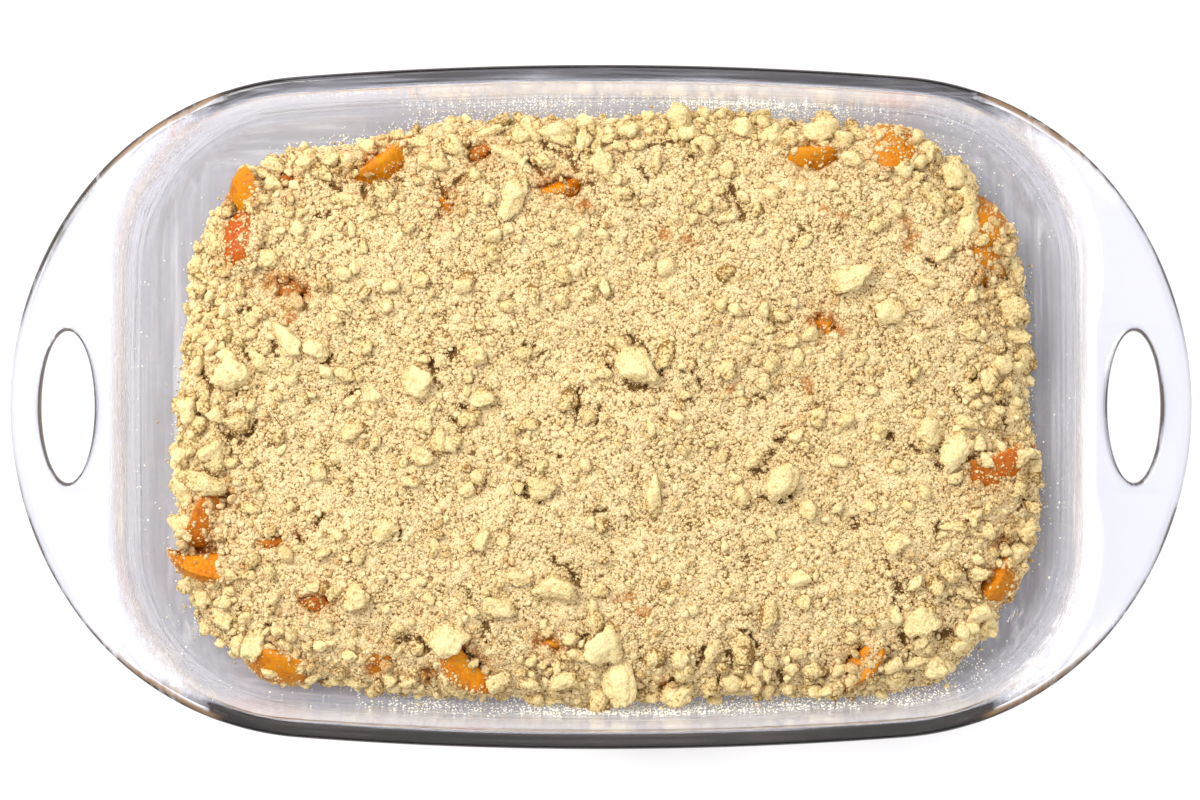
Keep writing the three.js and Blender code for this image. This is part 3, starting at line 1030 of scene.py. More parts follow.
        # Painted shade: a wider dark band inside the rim along the long sides, darkest on the -Y side.
        band = (0.8 + 1.7 * near_side) * (1 - smooth_step(depth, 4.6, 5.4)) * (1 - smooth_step(x, 124, 133))
        across, along = x - self.hole_centre, points[:, 1]
        out = np.hypot(across / self.hole_width, along / self.hole_length)
        away = np.hypot(across, along) * (1 - 0.5 / np.maximum(out, 0.1))
        # Painted shade round the finger holes: a dark outline and a faint halo.
        hole = 1.3 * (1 - smooth_step(away, 0.3, 1.7))
        halo = 0.12 * (1 - smooth_step(away, 1.0, 3.6))
        rim = np.maximum(line * (1.8 - 0.7 * round_corner) * (1 - 0.8 * far_end) * (1 - 0.05 * corner), band)
        # Painted shade on the basin's floor, a little darker towards +X.
        floor = (0.44 + 0.02 * points[:, 0] / 150) * (1 - smooth_step(points[:, 2], 7, 18))
        return np.maximum((rim + hole + halo) * high, floor)


@dataclass(frozen=True)
class HeapForm:
    """The heap's outline and height, as the part's source has them.

    Attributes:
        plan: The heap's smooth outline.
        fade: How fast the uneven edge fades towards the middle.
        bulges: Where the edge bulges or falls short: direction, spread and amount.
        profile: Rows of share of the way out, and height.
    """

    plan: Oblong = HEAP
    fade: int = EDGE_FADE
    bulges: tuple[tuple[float, float, float], ...] = EDGE_BULGES
    profile: tuple[tuple[float, float], ...] = HEAP_PROFILE

    def uneven(self, angle: np.ndarray) -> np.ndarray:
        """Gives how far the edge is out of the smooth outline at angles round the dish."""
        total = np.sin(9 * angle + 2.1) + 0.8 * np.sin(13 * angle + 4.4)
        for direction, spread, amount in self.bulges:
            turn = (np.degrees(angle) - direction + 180) % 360 - 180
            total = total + amount * np.exp(-((turn / spread) ** 2))
        return total

    def radius(self, angle: np.ndarray) -> np.ndarray:
        """Gives the distance from the middle to the smooth outline at angles."""
        ring = self.plan.points(0.0, (90, 90, 90))
        turns = np.arctan2(ring[:, 1], ring[:, 0])
        order = np.argsort(turns)
        return np.interp(angle, turns[order], np.hypot(*ring[order].T), period=2 * math.pi)

    def place(self, angle: np.ndarray, share: np.ndarray) -> np.ndarray:
        """Gives the place at a share of the way out to the uneven edge.

        Args:
            angle: Directions from the middle.
            share: Shares of the way out.

        Returns:
            Places seen from above, one row each.
        """
        reach = share * (self.radius(angle) + share**self.fade * self.uneven(angle))
        return np.stack((np.cos(angle) * reach, np.sin(angle) * reach), -1)

    def share(self, places: np.ndarray) -> np.ndarray:
        """Gives how far out places lie, as a share of the way to the uneven edge."""
        angle = np.arctan2(places[..., 1], places[..., 0])
        edge = self.radius(angle)
        share = np.hypot(places[..., 0], places[..., 1]) / edge
        return share - share**self.fade * self.uneven(angle) / edge

    @staticmethod
    def relief(places: np.ndarray) -> np.ndarray:
        """Gives the gentle rises and dips of the top."""
        x, y = places[..., 0], places[..., 1]
        return 0.9 * np.sin(x / 21 + 1.3) * np.cos(y / 17 + 0.4) + 0.5 * np.sin(x / 11 - y / 14)

    def top(self, places: np.ndarray) -> np.ndarray:
        """Gives the height of the crumble at places."""
        rows = np.array(self.profile[:0:-1])
        share = self.share(places)
        height = np.interp(share, rows[:, 0], rows[:, 1])
        return np.where(share >= 1, height, height + self.relief(places))

    def height(self, x: float, y: float) -> float:
        """Gives the height of the crumble at one place."""
        return float(self.top(np.array((x, y), float)))


class Draws:
    """The part's own repeatable stream of numbers, so that its lumps are found again."""

    def __init__(self, seed: int) -> None:
        """Starts the stream from a seed."""
        self.state = seed

    def next(self) -> float:
        """Gives the next number, from zero to one."""
        self.state = (self.state * 1664525 + 1013904223) & 0xFFFFFFFF
        return self.state / 2**32

    def between(self, low: float, high: float) -> float:
        """Gives the next number, from low to high."""
        return low + (high - low) * self.next()

    def skip(self, count: int) -> None:
        """Passes over numbers."""
        for _ in range(count):
            self.next()


@dataclass
class ApricotBed:
    """The layer of apricot quarters under the crumble, with those that show at its edge.

    Attributes:
        heap: The heap that they lie in.
        finish: The fruit.
        pitch: How far apart the hidden quarters lie, along and across.
        share: How far out they go.
        shown_detail: Stations along, and steps round, a quarter that shows.
        hidden_detail: The same for a hidden one.
        hidden_leans: How the hidden quarters lean, in turn.
        cover: The least depth of crumble over a hidden one.
    """

    heap: HeapForm = HeapForm()
    finish: ApricotFinish = ApricotFinish()
    pitch: tuple[float, float] = (31.0, 22.5)
    share: float = 0.84
    shown_detail: tuple[int, int] = (26, 44)
    hidden_detail: tuple[int, int] = (14, 26)
    hidden_leans: tuple[float, ...] = (0, 180, 44, -44, 172)
    cover: float = 4.5

    def section(self, steps: int) -> tuple[np.ndarray, np.ndarray]:
        """Draws a quarter's cross-section on a fruit of radius one.

        Args:
            steps: Points on it.

        Returns:
            Points as sideways and outwards, and what each is.
        """
        spread, stone = FRUIT_SPREAD, STONE_SHARE
        skin = [(math.sin(a), math.cos(a)) for a in np.linspace(-spread, spread, 40)]
        bed = [(stone * math.sin(a), stone * math.cos(a)) for a in np.linspace(spread, -spread, 14)]
        cut_a, cut_b = (
            [tuple((1 - t) * np.array(first) + t * np.array(last)) for t in np.linspace(0.06, 0.94, 16)]
            for first, last in ((skin[-1], bed[0]), (bed[-1], skin[0]))
        )
        loop = np.array([*skin, *cut_a, *bed, *cut_b])
        kind = np.array(
            [FruitSide.SKIN.value] * len(skin)
            + [FruitSide.FLESH.value] * len(cut_a)
            + [FruitSide.STONE_BED.value] * len(bed)
            + [FruitSide.FLESH.value] * len(cut_b)
        )
        for _ in range(3):
            loop = 0.5 * loop + 0.25 * (np.roll(loop, 1, 0) + np.roll(loop, -1, 0))
        walked = np.append(0, np.cumsum(np.hypot(*(np.roll(loop, -1, 0) - loop).T)))
        wanted = np.linspace(0, walked[-1], steps, endpoint=False)
        closed = np.vstack((loop, loop[:1]))
        points = np.column_stack([np.interp(wanted, walked, closed[:, i]) for i in (0, 1)])
        return points, np.interp(wanted, walked, np.append(kind, kind[0]))

    def quarter(self, detail: tuple[int, int], seed: float) -> tuple[np.ndarray, Faces, np.ndarray]:
        """Makes one quarter, its stem axis along X and its skin upwards.

        Args:
            detail: Stations along it and steps round it.
            seed: Moves the noise, so that no two are alike.

        Returns:
            Its points, its faces and what each point is.
        """
        stations, steps = detail
        section, kind = self.section(steps)
        turns = np.linspace(0.16, math.pi - 0.16, stations)
        rings = []
        for turn in turns:
            width = FRUIT_RADIUS * math.sin(turn)
            x = np.full(steps, FRUIT_STRETCH * FRUIT_RADIUS * math.cos(turn))
            rings.append(np.column_stack((x, width * section[:, 0], width * section[:, 1])))
        points = np.vstack([*rings, [rings[0].mean(0)], [rings[-1].mean(0)]])
        middle = points.mean(0)
        for i, p in enumerate(points):
            soft = noise.noise(Vector(p) * 0.07 + Vector((seed, 0, 0))) * 0.09
            fine = noise.noise(Vector(p) * 0.3 + Vector((0, seed, 0))) * 0.028
            points[i] = middle + (p - middle) * (1 + soft + fine)
        first, last = len(points) - 2, len(points) - 1
        faces: Faces = []
        for i in range(steps):
            j = (i + 1) % steps
            faces += [(first, i, j), (last, last - 1 - steps + j, last - 1 - steps + i)]
            for ring in range(0, (stations - 1) * steps, steps):
                faces.append((ring + i, ring + i + steps, ring + j + steps, ring + j))
        return points, faces, np.append(np.tile(kind, stations), (0.3, 0.3))

    def coarse_box(self, turned: np.ndarray) -> tuple[np.ndarray, float]:
        """Measures a turned quarter as the part's source does.

        Args:
            turned: The matrix that turns it.

        Returns:
            The middle of its box seen from above, and its top.
        """
        rows = []
        spread, stone = FRUIT_SPREAD, STONE_SHARE * FRUIT_RADIUS
        for turn in FRUIT_STATIONS:
            for radius, angles in ((FRUIT_RADIUS, (-spread, 0, spread)), (stone, (-spread, spread))):
                length, width = FRUIT_STRETCH * radius * math.cos(turn), radius * math.sin(turn)
                rows += [(length, width * math.sin(angle), width * math.cos(angle)) for angle in angles]
        points = np.array(rows) @ turned
        return (points[:, :2].min(0) + points[:, :2].max(0)) / 2, points[:, 2].max()

    def hidden_places(self) -> list[tuple[float, float]]:
        """Lays out the hidden quarters in staggered rows, clear of those that show."""
        places = []
        rows = int(HEAP.width / self.pitch[1]) + 2
        columns = int(HEAP.length / self.pitch[0]) + 2
        for row in range(rows):
            for column in range(columns):
                along, across = (5 * noise.noise(Vector((row * 1.7, column * 2.3, z))) for z in (5.0, 9.0))
                x = (column - columns / 2 + 0.5 * (row % 2)) * self.pitch[0] + along
                y = (row - rows / 2 + 0.5) * self.pitch[1] + across
                clear = all(math.hypot(x - s[0], y - s[1]) > 19 for s in SHOWN_FRUIT)
                if clear and self.heap.share(np.array((x, y))) < self.share:
                    places.append((x, y))
        return places

    def build(self) -> tuple[bpy.types.Object, tuple[np.ndarray, Faces]]:
        """Builds all the fruit as one piece.

        Returns:
            The finished piece, and the points and faces of the quarters that show.
        """
        fruit = Gathered("side", "blush")
        for i, (x, y, rise, turn, lean, tip) in enumerate(SHOWN_FRUIT):
            points, faces, kinds = self.quarter(self.shown_detail, 3.1 * i)
            turned = turn_matrix(*map(math.radians, (lean, tip, turn)))
            middle, top = self.coarse_box(turned)
            dx, dy, dz, left = SHOWN_NUDGE.get(i, (0, 0, 0, 1))
            lift = self.heap.height(x, y) + rise - left * top
            place = left * (points @ turned)
            place += (x - left * middle[0] + dx, y - left * middle[1] + dy, lift + dz)
            fruit.add(keep_in_dish(place), faces, side=kinds, blush=SHOWN_BLUSH[i])
        for i, (x, y, length, width, turn, red) in enumerate(FRUIT_TIPS):
            points, faces = crumb_shape(3, (length, width, 0.8 * width), 0.4, 90 + i)
            place = points @ turn_matrix(0, 0, math.radians(turn))
            place += (x, y, self.heap.height(x, y) + 0.1 - 0.4 * width)
            side = FruitSide.STONE_BED.value - 0.04 * red
            fruit.add(keep_in_dish(place), faces, side=side, blush=red / 10)
        shown = np.vstack(fruit.points), list(fruit.faces)
        for i, (x, y) in enumerate(self.hidden_places()):
            points, faces, kinds = self.quarter(self.hidden_detail, 50 + 2.7 * i)
            lean = self.hidden_leans[i % len(self.hidden_leans)] + 9 * math.sin(7.0 * i)
            place = points @ turn_matrix(*map(math.radians, (lean, 6 * math.cos(5.0 * i), 137.5 * i)))
            place += (x, y, HEAP_BASE + 0.1 - place[:, 2].min())
            inside = self.heap.share(place[:, :2]) < 0.98
            cover = np.where(inside, self.heap.top(place[:, :2]), 8.0) - self.cover
            place[:, 2] = np.minimum(place[:, 2], np.maximum(cover, HEAP_BASE + 0.3))
            fruit.add(keep_in_dish(place), faces, side=kinds, blush=0.5 + 0.5 * math.sin(3.0 * i))
        piece = fruit.piece("apricot_quarters")
        face_outwards(piece.data)
        piece.data.materials.append(self.finish.material())
        return dress(piece, Slot.APRICOT, "apricot_filling"), shown


# Where fruit shows: x, y, half length, half width, turn in degrees, and how free of crumbs in tenths.
BARE_FRUIT = (
    (-75,83,9,7,25,9), (-123,75,8,5,50,9), (-123,59,11,4.5,80,4), (-136,-40,7,3,85,8), (-131,-31,8,3.5,0,5),
    (-135.5,-52,8,6.5,80,9), (-112,-88,9,5,-18,8), (-45,-87,10,5,-45,9), (-76,-87,4,3,20,3),
    (86,-86,7,2.5,45,6), (135,-60,7,5,45,9), (138,-48,5,4,-50,5), (134,-22,8,4,15,5), (131,67,6,5,-20,6),
    (131,52,12,4,85,3), (99,86,7,5,0,4), (71,85,8,4,-8,7), (-16,75,5,4,0,4), (-10,74,3,4,0,5),
    (-52,70,6,3,60,4), (-112,-46,5,2,15,5), (-97,-66,6,3,0,4), (76,28,4,3,-30,4), (-106,40,7,4,-20,3),
    (-17,-80,4,2,-15,2), (-107,77,3,3,30,7), (-41,86,4,3,20,5),
)

# Where juice has soaked the crumble over hidden fruit: x, y, half length, half width, turn in degrees, and
# how wet in tenths.
JUICY = (
    (70,7,2,3,0,7), (103,62,3,3,0,6), (82,65,3,1.5,0,6), (76,67,2,1,0,6), (22,58,2.5,2,0,6),
    (29,56,3.5,1.5,-20,6), (8,-64,4,1.5,0,8), (14,-69,2.5,2,0,8), (-5,68,3,2,0,6), (44,6,2,1.5,0,7),
    (-59,-91,3,2.5,0,9), (22,-94,3.5,2,30,9), (-17,-80,5,2,-15,8), (-76,-88,4,3,20,8), (-106,41,8,4,-20,5),
    (-105,30,3,2,0,4), (76,28,5,3,-30,6), (105,56,4,2,60,3), (-97,-66,6,3,0,4),
)

# Tips of hidden fruit just under the top: x, y, length, width, turn in degrees, and how red in tenths.
FRUIT_TIPS = (
    (-112,-46,13,8,15,6), (-97,-66,13,7,0,3), (76,28,9,7,-30,8), (-106,40,17,11,-20,4), (-107,77,9,8,30,4),
    (-41,86,10,7,20,4), (-17,-80,11,5,-15,9),
)

# How far some lumps of the part's source, by their number, are moved so that the fruit beside them shows.
LUMP_NUDGE = {61: (0, 4, 0), 62: (-1, 4, -5), 63: (-1, 9, -1), 91: (3, 0, -3), 54: (-2, -2, -2)}

# Lumps that the part's solids don't have: x, y, length, width, turn in degrees, and how buttery in tenths.
SMALL_LUMPS = (
    (-111,82,8,7,0,7), (-121,81,8,4,20,6), (-105,84,6,3,80,7), (-100,83,8,7,10,6), (-91,84,7,5,40,9),
    (-86,84,6,6,0,8), (-79,88,7,6,0,7), (-83,79,3,3,0,5), (-111,76,7,5,-30,7), (-115,79,5,4,0,5),
    (-94,79,9,6,-20,4), (-86,70,11,6,-10,5), (-73,73,8,8,0,2), (-70,67,6,4,80,6), (-78,65,7,5,0,4),
    (-84,60,6,3,-75,9), (-88,61,4,3,45,6), (-80,54,7,3,85,6), (-119,67,7,4,-50,6), (-101,66,5,4,80,5),
    (-107,66,6,4,0,4), (-101,57,4,3,0,6), (-104,48,6,2,80,7), (-124,47,5,4,0,5), (-131,54,8,4,85,4),
    (-127,67,7,4,60,3), (-136,45,7,4,-5,1), (-132,42,9,5,50,3), (-87,45,8,5,-35,7), (-80,38,7,4,60,5),
    (-88,35,9,5,-35,7), (-71,41,6,5,20,9), (-72,34,6,5,60,7), (-62,90,10,5,0,6), (-67,86,5,4,30,6),
    (-50,88,10,9,0,5), (-54,82,8,6,-20,6), (-43,78,6,6,0,4), (-38,70,5,5,0,7), (-65,60,6,5,-20,5),
    (-31,85,13,5,-30,9), (-20,84,10,6,-25,5), (-6,91,10,6,85,7), (-28,92,8,7,0,6), (-27,86,6,4,-30,5),
    (-39,93,13,4,18,7), (1,82,13,7,-85,7), (5,77,5,4,0,7), (3,91,7,4,20,6), (-61,43,7,6,0,5),
    (-45,43,9,5,20,2), (-23,39,9,4,-70,4), (-13,36,5,5,0,7), (1,40,8,4,-70,8), (-31,34,6,5,0,5),
    (-48,60,6,3,-60,6), (10,94,8,7,0,8), (12,89,6,4,0,5), (6,88,7,4,-20,7), (21,95,5,4,30,6),
    (29,92,8,6,0,7), (36,89,10,8,-20,7), (48,95,10,7,-10,9), (59,93,10,9,0,8), (73,93,11,9,-10,8),
    (67,90,6,5,0,6), (43,80,7,6,80,6), (41,73,5,4,0,3), (48,71,6,5,-40,6), (57,72,9,6,-20,7),
    (67,74,5,4,0,9), (78,75,5,4,0,8), (19,82,9,4,75,6), (8,72,8,6,-10,5), (15,69,5,3,20,6), (30,70,5,5,0,5),
    (35,67,5,5,0,5), (43,64,8,3,18,9), (53,66,6,5,70,5), (53,59,5,3,50,7), (59,56,8,4,-80,6),
    (68,56,8,5,35,6), (42,45,8,8,0,1), (82,91,8,6,-30,7), (86,84,9,7,10,7), (92,84,5,4,0,6),
    (96,78,5,3,15,6), (107,78,6,4,20,4), (107,75,6,2,35,5), (113,71,12,7,-75,4), (121,79,11,8,-60,6),
    (116,52,8,5,45,7), (110,42,8,4,-25,8), (93,62,9,6,30,3), (86,65,4,3,0,6), (137,50,6,5,0,5),
    (142,45,7,6,60,5), (137,38,9,8,30,4), (142,36,6,4,80,5), (125,37,6,5,60,6), (106,34,5,4,0,5),
    (-137,26,9,4,60,5), (-133,30,8,4,50,5), (-118,25,6,4,30,7), (-115,15,7,6,0,7), (-106,15,5,3,-30,6),
    (-106,9,6,4,-30,6), (-87,11,10,6,-15,6), (-98,4,5,3,10,8), (-109,4,4,4,0,5), (-118,1,6,4,-80,7),
    (-84,2,6,5,0,5), (-78,-2,4,4,0,6), (-84,-8,9,8,80,5), (-76,-12,5,5,0,5), (-130,-3,8,7,0,7),
    (-123,-6,9,9,0,3), (-139,24,6,5,60,3), (-134,4,5,5,0,5), (-140,3,4,4,0,3), (-137,-6,7,6,0,4),
    (-119,-18,6,5,0,4), (-125,-19,6,5,30,4), (-118,-25,8,6,-20,4), (-95,-22,7,6,60,7), (-80,20,6,5,20,6),
    (-105,-34,5,5,0,6), (-119,-34,8,5,0,5), (-60,16,5,4,0,8), (-43,18,10,8,-15,5), (-37,22,4,4,0,7),
    (-41,27,5,4,-30,5), (-25,18,8,5,-15,6), (-45,10,6,4,90,5), (-60,-6,7,6,-10,4), (-55,-12,11,7,-70,6),
    (-61,-17,9,7,-25,6), (-67,-19,4,4,0,6), (-64,-25,7,5,0,5), (-46,-4,5,5,0,6), (-24,-6,8,5,10,5),
    (-41,-24,6,6,-50,7), (-45,-28,6,5,10,7), (-29,-17,6,5,-40,5), (-28,-27,5,4,80,5), (-20,-20,5,4,80,5),
    (-4,-4,6,5,80,4), (-11,2,8,7,80,2), (1,12,6,5,0,5), (0,-10,5,3,0,5), (6,21,9,8,0,3), (22,17,12,7,70,3),
    (22,24,4,3,80,7), (37,21,4,4,0,7), (30,14,5,5,0,3), (42,13,8,7,80,5), (28,4,7,5,10,5),
    (26,-4,8,4,-35,9), (22,-7,6,2,-35,6), (17,-8,8,3,-85,7), (54,8,7,5,-5,7), (67,17,7,5,70,6),
    (63,22,8,5,15,5), (57,14,6,4,80,5), (60,31,9,5,-10,6), (57,26,5,4,0,4), (66,-10,6,5,55,9),
    (69,-13,4,3,0,6), (74,-2,6,5,20,6), (45,-24,6,4,-50,5), (41,-17,6,4,0,4), (80,-18,7,5,-10,6),
    (48,2,6,4,0,4), (141,25,11,6,-10,6), (125,26,9,7,20,5), (141,13,6,5,0,7), (131,9,8,6,-75,8),
    (138,7,9,7,0,3), (124,6,5,5,30,6), (127,1,5,4,0,6), (88,16,6,5,0,5), (105,11,7,4,50,6),
    (101,17,3,3,0,7), (91,6,5,4,0,6), (94,-8,7,6,-50,6), (122,-5,11,5,-10,6), (107,-2,6,4,10,5),
    (128,-12,6,5,80,7), (131,-18,7,6,-45,7), (120,-24,6,5,60,5), (100,-20,6,5,0,6), (142,-28,8,5,10,5),
    (147,-34,6,5,0,4), (103,-33,7,4,-30,5), (-142,-61,7,6,80,6), (-136,-66,7,5,-40,7), (-129,-73,9,7,-30,8),
    (-127,-66,8,5,0,6), (-119,-57,6,4,0,5), (-118,-80,13,7,75,8), (-110,-76,6,4,-20,6), (-112,-82,5,4,0,5),
    (-97,-61,5,4,0,8), (-84,-94,9,5,0,8), (-93,-94,8,4,0,6), (-101,-95,5,3,0,7), (-72,-93,7,6,0,6),
    (-40,-45,7,6,70,8), (-56,-47,6,4,80,5), (-45,-48,5,4,0,5), (-32,-45,7,4,80,5), (-44,-69,6,4,0,5),
    (-58,-65,6,5,0,4), (-43,-87,5,3,45,7), (-62,-82,5,5,0,3), (-69,-75,7,6,0,6), (-65,-93,8,6,20,5),
    (-53,-92,6,6,0,6), (-34,-93,10,8,0,7), (-24,-94,11,6,-25,8), (-40,-98,6,4,60,7), (-12,-92,12,8,0,7),
    (-10,-78,6,5,0,5), (-9,-84,10,5,-10,6), (-23,-86,5,5,0,5), (-18,-76,5,4,60,7), (-15,-88,6,4,80,6),
    (-4,-39,5,4,80,8), (0,-40,6,6,0,3), (57,-42,7,3,-50,7), (67,-58,9,6,10,9), (68,-66,7,5,80,5),
    (57,-70,12,8,75,3), (48,-82,13,8,-60,3), (38,-83,10,6,65,5), (41,-72,4,4,0,3), (27,-85,7,6,80,6),
    (27,-91,6,5,80,6), (18,-85,8,8,0,2), (25,-98,7,6,30,9), (9,-98,5,4,0,7), (17,-99,6,4,0,7),
    (37,-96,8,5,-10,6), (44,-94,8,7,-40,7), (51,-93,7,6,-60,7), (56,-90,8,5,80,4), (65,-89,6,5,20,7),
    (64,-96,6,4,0,7), (72,-90,7,7,0,5), (73,-97,8,5,0,7), (67,-83,6,5,0,5), (31,-69,5,4,80,6),
    (100,-46,10,8,-20,7), (116,-43,3,3,0,9), (117,-47,5,3,60,9), (132,-42,6,4,0,8), (146,-42,8,6,50,6),
    (119,-40,10,4,0,6), (126,-38,6,4,80,7), (137,-49,6,5,0,5), (118,-55,9,9,0,3), (128,-57,9,6,5,6),
    (124,-63,12,5,-12,4), (106,-60,8,4,45,8), (106,-54,3,3,0,8), (104,-73,8,5,15,6), (110,-77,7,6,-20,7),
    (108,-74,9,4,-20,5), (122,-81,11,7,10,8), (131,-76,9,5,-45,8), (133,-71,8,6,-20,7), (122,-76,7,5,0,5),
    (122,-67,6,4,0,5), (99,-88,8,7,60,7), (90,-91,5,5,0,6), (80,-96,9,6,80,6), (107,-87,10,4,15,6),
    (85,-72,4,3,0,8), (84,-78,7,5,0,5),
)

# Crevices beside the lumps, sunk and darkened with painted shade: x, y, length, turn in degrees, and width in
# tenths of a millimetre.
CREVICES = (
    (-94,65,4,0,26), (-90,74,4,-30,12), (-120,33,5,0,20), (-80,73,4,-70,15), (-9,83,6,-60,22),
    (-44,85,6,-70,18), (-69,77,4,-30,15), (-22,81,7,-50,12), (-18,88,10,-30,14), (-5,75,4,0,28),
    (-54,74,5,-60,15), (-48,77,3,10,12), (14,79,5,-40,13), (45,73,4,-80,13), (47,66,5,-60,18),
    (76,87,6,-10,18), (20,89,8,5,13), (31,84,3,-20,12), (66,58,5,45,11), (107,79,5,-45,22),
    (78,86,5,-60,25), (137,46,5,-50,20), (121,54,3,-60,10), (112,49,4,-25,13), (136,33,4,10,12),
    (-119,17,5,-40,18), (-110,20,5,-80,14), (-121,5,9,25,12), (-92,16,4,70,12), (-125,-11,6,-30,18),
    (-126,-18,6,65,15), (-118,-7,6,60,15), (-83,4,3,-40,13), (-89,-19,3,80,16), (-134,9,8,-60,35),
    (-57,14,5,-60,16), (-55,8,4,-70,10), (-50,18,3,20,18), (-24,21,3,-30,13), (-20,18,3,20,15),
    (-46,1,3,0,16), (-48,-5,4,-35,15), (-8,1,10,85,14), (-2,-3,5,80,10), (3,13,3,-80,14),
    (-15,-16,4,-35,11), (-24,-30,9,-30,11), (0,-35,4,0,12), (13,21,9,-50,13), (20,13,5,-60,13),
    (13,7,9,-12,14), (27,12,4,-50,9), (31,13,4,65,9), (34,8,3,-70,13), (54,3,4,-35,13), (57,31,5,-30,11),
    (57,-18,5,60,26), (54,-22,4,0,18), (57,-31,6,-25,12), (62,-31,4,20,11), (65,-27,5,70,15),
    (61,-10,4,50,12), (126,10,5,-75,22), (121,4,4,-70,11), (136,2,3,10,15), (135,-3,6,-80,20),
    (126,-20,7,-75,22), (116,-14,6,45,13), (115,-20,5,-35,11), (98,-10,3,-50,14), (106,-14,6,-40,11),
    (137,20,4,70,11), (143,-33,4,60,12), (-102,-46,5,-75,18), (-122,-70,3,60,14), (-113,-75,3,0,20),
    (-95,-38,4,60,22), (-75,-87,7,25,22), (-68,-43,4,-80,12), (-9,-57,8,-65,16), (-15,-52,4,-30,11),
    (-39,-76,7,-80,20), (-60,-80,5,-40,15), (-66,-79,5,0,15), (-6,-78,3,0,26), (-18,-80,8,-15,18),
    (-59,-91,3,-60,20), (-45,-64,3,-60,13), (-19,-91,3,30,14), (44,-86,6,-85,22), (35,-85,6,70,26),
    (22,-94,5,20,22), (75,-92,5,55,20), (48,-76,3,0,11), (52,-79,5,-55,12), (14,-84,5,-65,12),
    (8,-92,3,-40,15), (40,-92,3,60,15), (61,-92,4,-85,15), (104,-77,5,0,22), (116,-77,5,0,24),
    (104,-82,5,-80,20), (119,-64,2,0,18), (100,-60,5,85,13), (99,-67,5,-40,13), (96,-83,3,30,16),
    (97,-53,4,-50,11), (124,-56,5,-80,14), (86,-39,3,-50,13), (113,-41,3,-80,12),
)

# Where flour and fine crumbs lie thick on the glass: x, y, and reach along and across.
DUSTY = (
    (105,-90,24,10), (-5,-100,18,8), (-60,-97,18,5), (62,-99,22,5), (-85,88,20,6), (-25,98,28,6),
    (28,97,16,5), (122,85,18,9), (55,99,30,5), (-60,98,20,4), (20,-103,60,4),
)


def seen_from(places: np.ndarray, x: float, y: float, turn: float) -> tuple[np.ndarray, np.ndarray]:
    """Gives how far places lie along and across a direction from a point.

    Args:
        places: Places seen from above, one row each.
        x: The point's place along the dish.
        y: The point's place across the dish.
        turn: The direction in degrees.

    Returns:
        The distances along and across.
    """
    c, d = math.cos(math.radians(turn)), math.sin(math.radians(turn))
    u, v = places[:, 0] - x, places[:, 1] - y
    return u * c + v * d, v * c - u * d


def ovals(
    places: np.ndarray, rows: Sequence[Sequence[float]], ragged: float = 0.4
) -> tuple[np.ndarray, np.ndarray]:
    """Finds which places lie in ragged ovals.

    Args:
        places: Places seen from above, one row each.
        rows: Place, half length, half width, turn in degrees and strength in tenths of each oval.
        ragged: How ragged their edges are.

    Returns:
        From zero outside to one inside, and the same times the strength.
    """
    wave = waves(places, 4, 3.0) * ragged
    inside, strong = np.zeros(len(places)), np.zeros(len(places))
    for x, y, long, wide, turn, strength in rows:
        along, across = seen_from(places, x, y, turn)
        here = 1 - smooth_step(np.hypot(along / long, across / wide) + wave, 0.85, 1.15)
        inside, strong = np.maximum(inside, here), np.maximum(strong, here * strength / 10)
    return inside, strong


def fruit_shows(places: np.ndarray) -> np.ndarray:
    """Finds where the crumble is open over fruit: wholly on the bare quarters, between crumbs on others.

    Args:
        places: Places seen from above, one row each.

    Returns:
        From zero where crumble lies to one where fruit shows.
    """
    inside, strong = ovals(places, BARE_FRUIT)
    open_share = 1.3 * strong / np.maximum(inside, 0.001) - 0.35
    return inside * smooth_step(0.9 * waves(places, 2.6, 8.0) + open_share, -0.1, 0.12)


def crevices(places: np.ndarray) -> np.ndarray:
    """Gives how deep in a crevice places lie, from zero to one."""
    bend = 2.2 * waves(places, 4, 8.0) + 1.3 * waves(places, 1.6, 2.0)
    fray = 1 + 0.5 * waves(places, 1, 4.0)
    deep = np.zeros(len(places))
    for x, y, length, turn, width in CREVICES:
        along, across = seen_from(places, x, y, turn)
        off = np.hypot(np.maximum(np.abs(along) - length / 2, 0), across + bend)
        deep = np.maximum(deep, np.exp(-((off * fray / (0.05 * min(width, 17))) ** 2)))
    return deep


